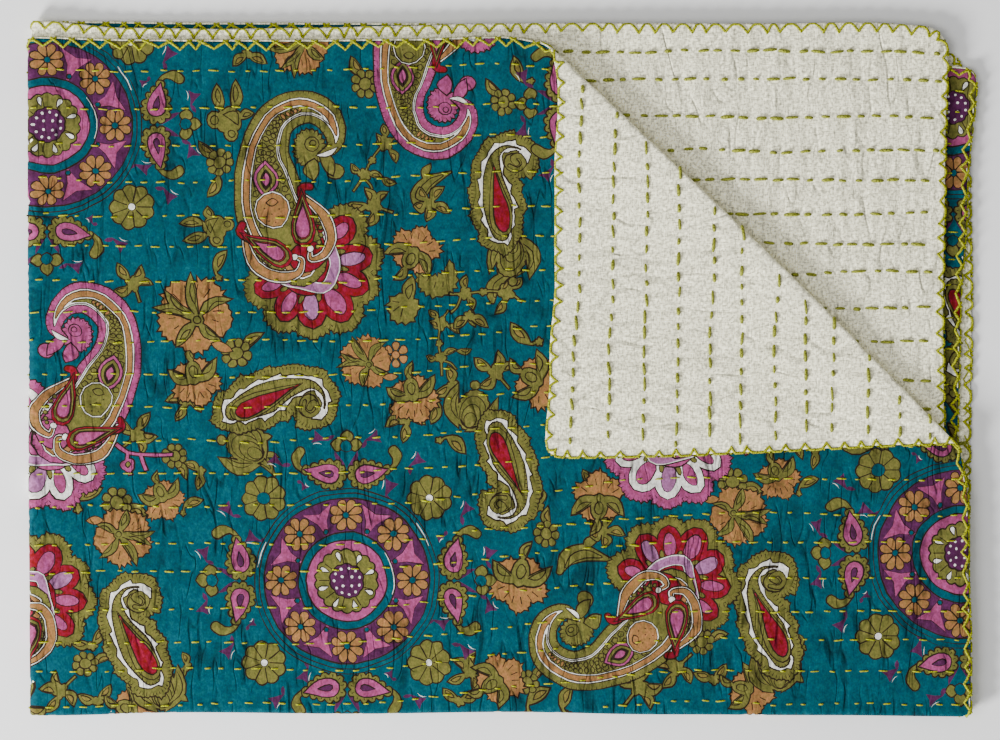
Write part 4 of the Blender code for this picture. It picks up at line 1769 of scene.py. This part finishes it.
def new_tree(name, *labels):
    """An empty Geometry Nodes tree with named inputs: (tree, its inputs by name)."""
    tree = bpy.data.node_groups.new(name, "GeometryNodeTree")
    for label in labels:
        kind = "NodeSocket" + INPUT_KINDS.get(label, "Float")
        tree.interface.new_socket(label, in_out="INPUT", socket_type=kind)
    tree.interface.new_socket("Geometry", in_out="OUTPUT", socket_type="NodeSocketGeometry")
    return tree, tree.nodes.new("NodeGroupInput").outputs


def finish_tree(tree, geometry, material):
    """Ends a tree: real geometry, smooth, in its material."""
    real = add(tree, "GeometryNodeRealizeInstances", {"Geometry": geometry})
    soft = add(tree, "GeometryNodeSetShadeSmooth", {"Geometry": real})
    done = add(tree, "GeometryNodeSetMaterial", {"Geometry": soft, "Material": material})
    add(tree, "NodeGroupOutput", {"Geometry": done})
    return tree


def thickened(tree, curve, thickness):
    """A curve as a round thread."""
    half = add(tree, "ShaderNodeMath", (thickness, 0.5), operation="MULTIPLY")
    ring = add(tree, "GeometryNodeCurvePrimitiveCircle", {"Resolution": 6, "Radius": half})
    return add(tree, "GeometryNodeCurveToMesh", {"Curve": curve, "Profile Curve": ring})


def random_between(tree, given, label, middle, seed):
    """A random number each side of middle, by as much as the named input says."""
    seed = add(tree, "ShaderNodeMath", (given["Seed"], seed), operation="ADD")
    low = add(tree, "ShaderNodeMath", (middle, given[label]), operation="SUBTRACT")
    high = add(tree, "ShaderNodeMath", (middle, given[label]), operation="ADD")
    links = {"Min": low, "Max": high, "Seed": seed}
    return add(tree, "FunctionNodeRandomValue", links, data_type="FLOAT")


def running_tree():
    """Puts a strand, pulled into the cloth at both ends, on each point."""
    tree, given = new_tree(
        "Running Stitches", "Geometry", "Length", "Thickness", "Uneven Length",
        "Uneven Thickness", "Lean", "Seed", "Thread",
    )
    links = {"Resolution": 5}
    for label, run, rise in (("Start", -0.5, -0.45), ("Middle", 0.0, 1.2), ("End", 0.5, -0.45)):
        run = add(tree, "ShaderNodeMath", (given["Length"], run), operation="MULTIPLY")
        rise = add(tree, "ShaderNodeMath", (given["Thickness"], rise), operation="MULTIPLY")
        links[label] = add(tree, "ShaderNodeCombineXYZ", {"X": run, "Z": rise})
    arc = add(tree, "GeometryNodeCurveQuadraticBezier", links)
    strand = thickened(tree, arc, given["Thickness"])
    turn = {}
    for label, axis, pivot in (("along", "X", "AUTO"), ("up", "Z", "X")):
        kind = "GeometryNodeInputNamedAttribute"
        turn["Vector"] = add(tree, kind, {"Name": label}, data_type="FLOAT_VECTOR")
        kind = "FunctionNodeAlignRotationToVector"
        turn["Rotation"] = add(tree, kind, turn, axis=axis, pivot_axis=pivot)
    lean = random_between(tree, given, "Lean", 0.0, 2)
    lean = add(tree, "FunctionNodeAxisAngleToRotation", {"Axis": (0, 0, 1), "Angle": lean})
    links = {"Rotation": turn["Rotation"], "Rotate By": lean}
    turned = add(tree, "FunctionNodeRotateRotation", links, rotation_space="LOCAL")
    longer = random_between(tree, given, "Uneven Length", 1.0, 0)
    thicker = random_between(tree, given, "Uneven Thickness", 1.0, 1)
    links = {
        "Points": given["Geometry"],
        "Instance": strand,
        "Rotation": turned,
        "Scale": add(tree, "ShaderNodeCombineXYZ", (longer, thicker, thicker)),
    }
    stitches = add(tree, "GeometryNodeInstanceOnPoints", links)
    return finish_tree(tree, stitches, given["Thread"])


def edge_tree():
    """Gives each chain of edges the thickness of the thread."""
    tree, given = new_tree("Edge Stitches", "Geometry", "Thickness", "Thread")
    chains = add(tree, "GeometryNodeMeshToCurve", {"Mesh": given["Geometry"]})
    return finish_tree(tree, thickened(tree, chains, given["Thickness"]), given["Thread"])


def worked(name, mesh, tree, values):
    """A piece of stitching: the tree run on the mesh, kept as plain geometry."""
    piece = bpy.data.objects.new(name, mesh)
    bpy.context.collection.objects.link(piece)
    modifier = piece.modifiers.new("Stitching", "NODES")
    modifier.node_group = tree
    for socket in tree.interface.items_tree:
        if socket.in_out == "INPUT" and socket.name in values:
            modifier[socket.identifier] = values[socket.name]
    seen = piece.evaluated_get(bpy.context.evaluated_depsgraph_get())
    plain = bpy.data.meshes.new_from_object(seen)
    piece.modifiers.remove(modifier)
    piece.data = plain
    if not len(plain.polygons):
        raise RuntimeError(f"{name} came out empty")
    return piece


# ---------------------------------------------------------------- settings


def shade_setting(name, description, shade):
    """A colour that the panel shows."""
    return FloatVectorProperty(
        name=name,
        description=description,
        subtype="COLOR",
        size=4,
        min=0.0,
        max=1.0,
        default=linear(shade),
    )


def size_setting(name, description, size):
    """A size in metres that the panel shows."""
    return FloatProperty(
        name=name, description=description, unit="LENGTH", min=0.0, default=size, precision=4
    )


class QuiltColours(bpy.types.PropertyGroup):
    """The inks, the plain cloth and the threads."""

    teal: shade_setting("Teal", "Ground of the print", "#004551")
    outline: shade_setting("Outline", "Drawn lines of the print", "#22180E")
    olive: shade_setting("Olive", "Leaves, fringes and small flowers", "#605E2B")
    ochre: shade_setting("Ochre", "Hearts of the leaves", "#6E622E")
    orange: shade_setting("Orange", "Ragged flowers and scrolls", "#8A6238")
    pink: shade_setting("Pink", "Medallions, drops and fringes", "#8E3E68")
    mauve: shade_setting("Mauve", "Washed pink of the lotus", "#905C84")
    purple: shade_setting("Purple", "Ring of the medallion and its leaves", "#481C40")
    red: shade_setting("Red", "Lotus and small drops", "#760E20")
    white: shade_setting("White", "Unprinted bands and dots", "#D6D4CC")
    cream: shade_setting("Cream", "Plain back cloth", "#FAF6D6")
    thread: shade_setting("Thread", "Thread on the face", "#AEB20A")
    thread_dark: shade_setting("Thread shade", "Plies in shade on the face", "#626606")
    back_thread: shade_setting("Back thread", "Thread on the back", "#9DA238")
    back_thread_dark: shade_setting("Back thread shade", "Plies in shade", "#50520C")


class QuiltSizes(bpy.types.PropertyGroup):
    """Sizes of the threads and of the cloth's mesh."""

    stitch_pitch: size_setting("Stitch pitch", "From one stitch to the next", 0.0156)
    face_stitch: size_setting("Face stitch", "Length of a stitch on the face", 0.0060)
    face_thickness: size_setting("Face thread", "Thread's width on the face", 0.0015)
    back_stitch: size_setting("Back stitch", "Length of a stitch on the back", 0.0088)
    back_thickness: size_setting("Back thread", "Thread's width on the back", 0.0031)
    edge_pitch: size_setting("Edge pitch", "From one edge stitch to the next", 0.0172)
    edge_depth: size_setting("Edge depth", "How far edge stitches reach in", 0.0073)
    edge_thickness: size_setting("Edge thread", "Thread's width over the edge", 0.0025)
    face_step: size_setting("Face step", "Mesh step of the printed cloth on show", 0.0070)
    back_step: size_setting("Back step", "Mesh step of the plain cloth on show", 0.0045)
    hidden_step: size_setting("Hidden step", "Mesh step inside the stack", 0.0190)


# ---------------------------------------------------------------- the making


INKS = ("teal", "outline", "olive", "ochre", "orange", "pink", "mauve", "purple", "red", "white")

# How each cloth's edge is turned in: out from the cut line, and height off the middle.
FACE_ROLLS = (Roll(0.0, 0.0008), Roll(0.0003, 0.00005))
BACK_ROLLS = (
    Roll(0.0, -0.0003),
    Roll(0.0001, 0.0004),
    Roll(-0.0005, 0.0008),
    Roll(-0.0014, 0.0008),
)


class QUILT_OT_face_cloth(bpy.types.Operator):
    """Lay the printed face cloth"""

    bl_idname = "quilt.face_cloth"
    bl_label = "Face Cloth"

    def execute(self, context):
        sizes, colours = context.scene.quilt_sizes, context.scene.quilt_colours
        places = scattered(1, sizes.face_step, sizes.hidden_step)
        outline = cloth_edge(EDGE_STEP)
        flat, triangles, inks = cut_cloth(outline, whole_print(), places, sizes.face_step)
        cloth, faces = make_sheet("face_sheet", flat, triangles, 1, FACE_ROLLS)
        inks = np.append(inks, np.zeros(len(faces) - len(inks), int)).astype(np.int32)
        for ink in INKS:
            name = f"Printed Cotton {ink.title()}"
            uneven = 0.14 if ink in ("teal", "outline") else 0.26
            cloth.data.materials.append(printed_cotton(name, getattr(colours, ink), uneven))
        cloth.data.polygons.foreach_set("material_index", inks)
        held = np.empty(len(cloth.data.vertices) * 3, np.float32)
        cloth.data.attributes["flat_place"].data.foreach_get("vector", held)
        lay_bake_map(cloth.data, held.reshape(-1, 3))
        return {"FINISHED"}


class QUILT_OT_back_cloth(bpy.types.Operator):
    """Lay the plain back cloth"""

    bl_idname = "quilt.back_cloth"
    bl_label = "Back Cloth"

    def execute(self, context):
        sizes, colours = context.scene.quilt_sizes, context.scene.quilt_colours
        outline = cloth_edge(EDGE_STEP, BACK_LIP)
        places = scattered(-1, sizes.back_step, sizes.hidden_step)
        flat, triangles, _ = cut_cloth(outline, [], places, sizes.back_step)
        cloth, _ = make_sheet("back_sheet", flat, triangles, -1, BACK_ROLLS)
        cloth.data.materials.append(plain_cotton("Handloom Cotton Unbleached", colours.cream))
        return {"FINISHED"}


# How much one running stitch may differ from the next: shares of its length and of its
# thickness, and the angle that it leans off the row.
UNEVEN_LENGTH = 0.42
UNEVEN_THICKNESS = 0.18
LEAN = math.radians(8)


class QUILT_OT_running_stitches(bpy.types.Operator):
    """Quilt both cloths together with rows of running stitch"""

    bl_idname = "quilt.running_stitches"
    bl_label = "Running Stitches"

    def execute(self, context):
        sizes, colours = context.scene.quilt_sizes, context.scene.quilt_colours
        tree = running_tree()
        for name, side, prefix in (("face", 1, ""), ("back", -1, "back_")):
            light = getattr(colours, f"{prefix}thread")
            dark = getattr(colours, f"{prefix}thread_dark")
            values = {
                "Length": getattr(sizes, f"{name}_stitch"),
                "Thickness": getattr(sizes, f"{name}_thickness"),
                "Uneven Length": UNEVEN_LENGTH,
                "Uneven Thickness": UNEVEN_THICKNESS,
                "Lean": LEAN,
                "Seed": 3 + side,
                "Thread": spun_thread(f"Embroidery Thread {name.title()}", light, dark),
            }
            points = running_stitches(f"{name}_stitches", side, sizes)
            worked(f"{name}_stitches", points, tree, values)
        return {"FINISHED"}


class QUILT_OT_edge_stitches(bpy.types.Operator):
    """Work the thread over the quilt's edge"""

    bl_idname = "quilt.edge_stitches"
    bl_label = "Edge Stitches"

    def execute(self, context):
        sizes, colours = context.scene.quilt_sizes, context.scene.quilt_colours
        thread = spun_thread("Embroidery Thread Edge", colours.thread, colours.back_thread_dark)
        tree = edge_tree()
        for name, side in (("face_edging", 1), ("back_edging", -1)):
            values = {"Thickness": sizes.edge_thickness, "Thread": thread}
            worked(name, edge_stitches(name, side, sizes), tree, values)
        return {"FINISHED"}


VIEW_ACROSS, VIEW_UP = 0.4324, 0.3181  # the picture's middle, from where the folds meet
VIEW_WIDTH = 0.9365  # what the picture takes in across, at the top of the stack
VIEW_HEIGHT = 6.0  # of the camera above the floor
STACK_TOP = 0.022  # of the top of the stack above the floor
SENSOR = 36.0  # width of the camera's sensor, in millimetres
FLOOR_SIZE = 14.0
FLOOR_DROP = 0.0005  # below the quilt, so that the two never touch
SKY_STRENGTH = 0.44

# Two softboxes to the left: the brighter one low, for the gathers, the other high.
Lamp = namedtuple("Lamp", "name offset size power")
LAMPS = (
    Lamp("Key Softbox", (-2.7, -2.3, 1.55), 1.1, 345.0),
    Lamp("Fill Softbox", (-1.7, -0.5, 3.2), 2.0, 52.0),
)


def white_paper():
    """White paper sweep, matt and without texture.

    The eye gets an even pale ground that takes the quilt's soft shadow.
    """
    material, tree = new_material("White Paper Sweep")
    links = {"Base Color": linear("#FFFFFF"), "Roughness": 1.0, "Specular IOR Level": 0.0}
    shader = add(tree, "ShaderNodeBsdfPrincipled", links)
    add(tree, "ShaderNodeOutputMaterial", {"Surface": shader})
    return material


class QUILT_OT_stage(bpy.types.Operator):
    """Set out the floor, the lights and the camera"""

    bl_idname = "quilt.stage"
    bl_label = "Stage"

    def execute(self, context):
        bpy.ops.mesh.primitive_plane_add(size=FLOOR_SIZE, location=(0, 0, -FLOOR_DROP))
        floor = context.active_object
        floor.name = "floor"
        floor.data.materials.append(white_paper())
        centre = Vector((FOLDS_MEET[0] + VIEW_ACROSS, FOLDS_MEET[1] + VIEW_UP, 0))
        for lamp in LAMPS:
            softbox = bpy.data.lights.new(lamp.name, "AREA")
            softbox.size, softbox.energy = lamp.size, lamp.power
            light = bpy.data.objects.new(lamp.name, softbox)
            light.location = centre + Vector(lamp.offset)
            light.rotation_euler = (-Vector(lamp.offset)).to_track_quat("-Z", "Y").to_euler()
            context.collection.objects.link(light)
        world = bpy.data.worlds.new("Studio")
        world.use_nodes = True
        sky = world.node_tree.nodes["Background"]
        sky.inputs["Color"].default_value = (1.0, 1.0, 1.0, 1.0)
        sky.inputs["Strength"].default_value = SKY_STRENGTH
        context.scene.world = world
        lens = bpy.data.cameras.new("Camera")
        lens.sensor_width = SENSOR
        lens.lens = SENSOR * (VIEW_HEIGHT - STACK_TOP) / VIEW_WIDTH
        camera = bpy.data.objects.new("Camera", lens)
        camera.location = centre + Vector((0, 0, VIEW_HEIGHT))
        context.collection.objects.link(camera)
        context.scene.camera = camera
        return {"FINISHED"}


class QUILT_PT_panel(bpy.types.Panel):
    """Colours, sizes and steps of the quilt"""

    bl_idname = "QUILT_PT_panel"
    bl_label = "Kantha Quilt"
    bl_space_type = "VIEW_3D"
    bl_region_type = "UI"
    bl_category = "Quilt"

    def draw(self, context):
        """Every setting, then a button for each step."""
        for settings in (context.scene.quilt_colours, context.scene.quilt_sizes):
            column = self.layout.column()
            for name in settings.bl_rna.properties.keys():
                if name not in ("rna_type", "name"):
                    column.prop(settings, name)
        for operator in STEPS:
            self.layout.operator(operator.bl_idname)


STEPS = (
    QUILT_OT_face_cloth,
    QUILT_OT_back_cloth,
    QUILT_OT_running_stitches,
    QUILT_OT_edge_stitches,
    QUILT_OT_stage,
)
CLASSES = (QuiltColours, QuiltSizes, *STEPS, QUILT_PT_panel)


def register():
    """Add the classes, and the settings to every scene."""
    for item in CLASSES:
        bpy.utils.register_class(item)
    bpy.types.Scene.quilt_colours = PointerProperty(type=QuiltColours)
    bpy.types.Scene.quilt_sizes = PointerProperty(type=QuiltSizes)


def unregister():
    """Take the settings and the classes away again."""
    del bpy.types.Scene.quilt_sizes
    del bpy.types.Scene.quilt_colours
    for item in reversed(CLASSES):
        bpy.utils.unregister_class(item)


def main():
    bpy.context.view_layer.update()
    register()
    bpy.ops.quilt.face_cloth()
    bpy.ops.quilt.back_cloth()
    bpy.ops.quilt.running_stitches()
    bpy.ops.quilt.edge_stitches()
    bpy.ops.quilt.stage()
    pieces = {o.name: o for o in bpy.context.collection.objects}
    for side in ("face", "back"):
        sheet = pieces[f"{side}_sheet"]
        for part in (sheet, pieces[f"{side}_stitches"], pieces[f"{side}_edging"]):
            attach(part, "root")
        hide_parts(f"{side}_cloth")


if __name__ == "__main__":
    main()
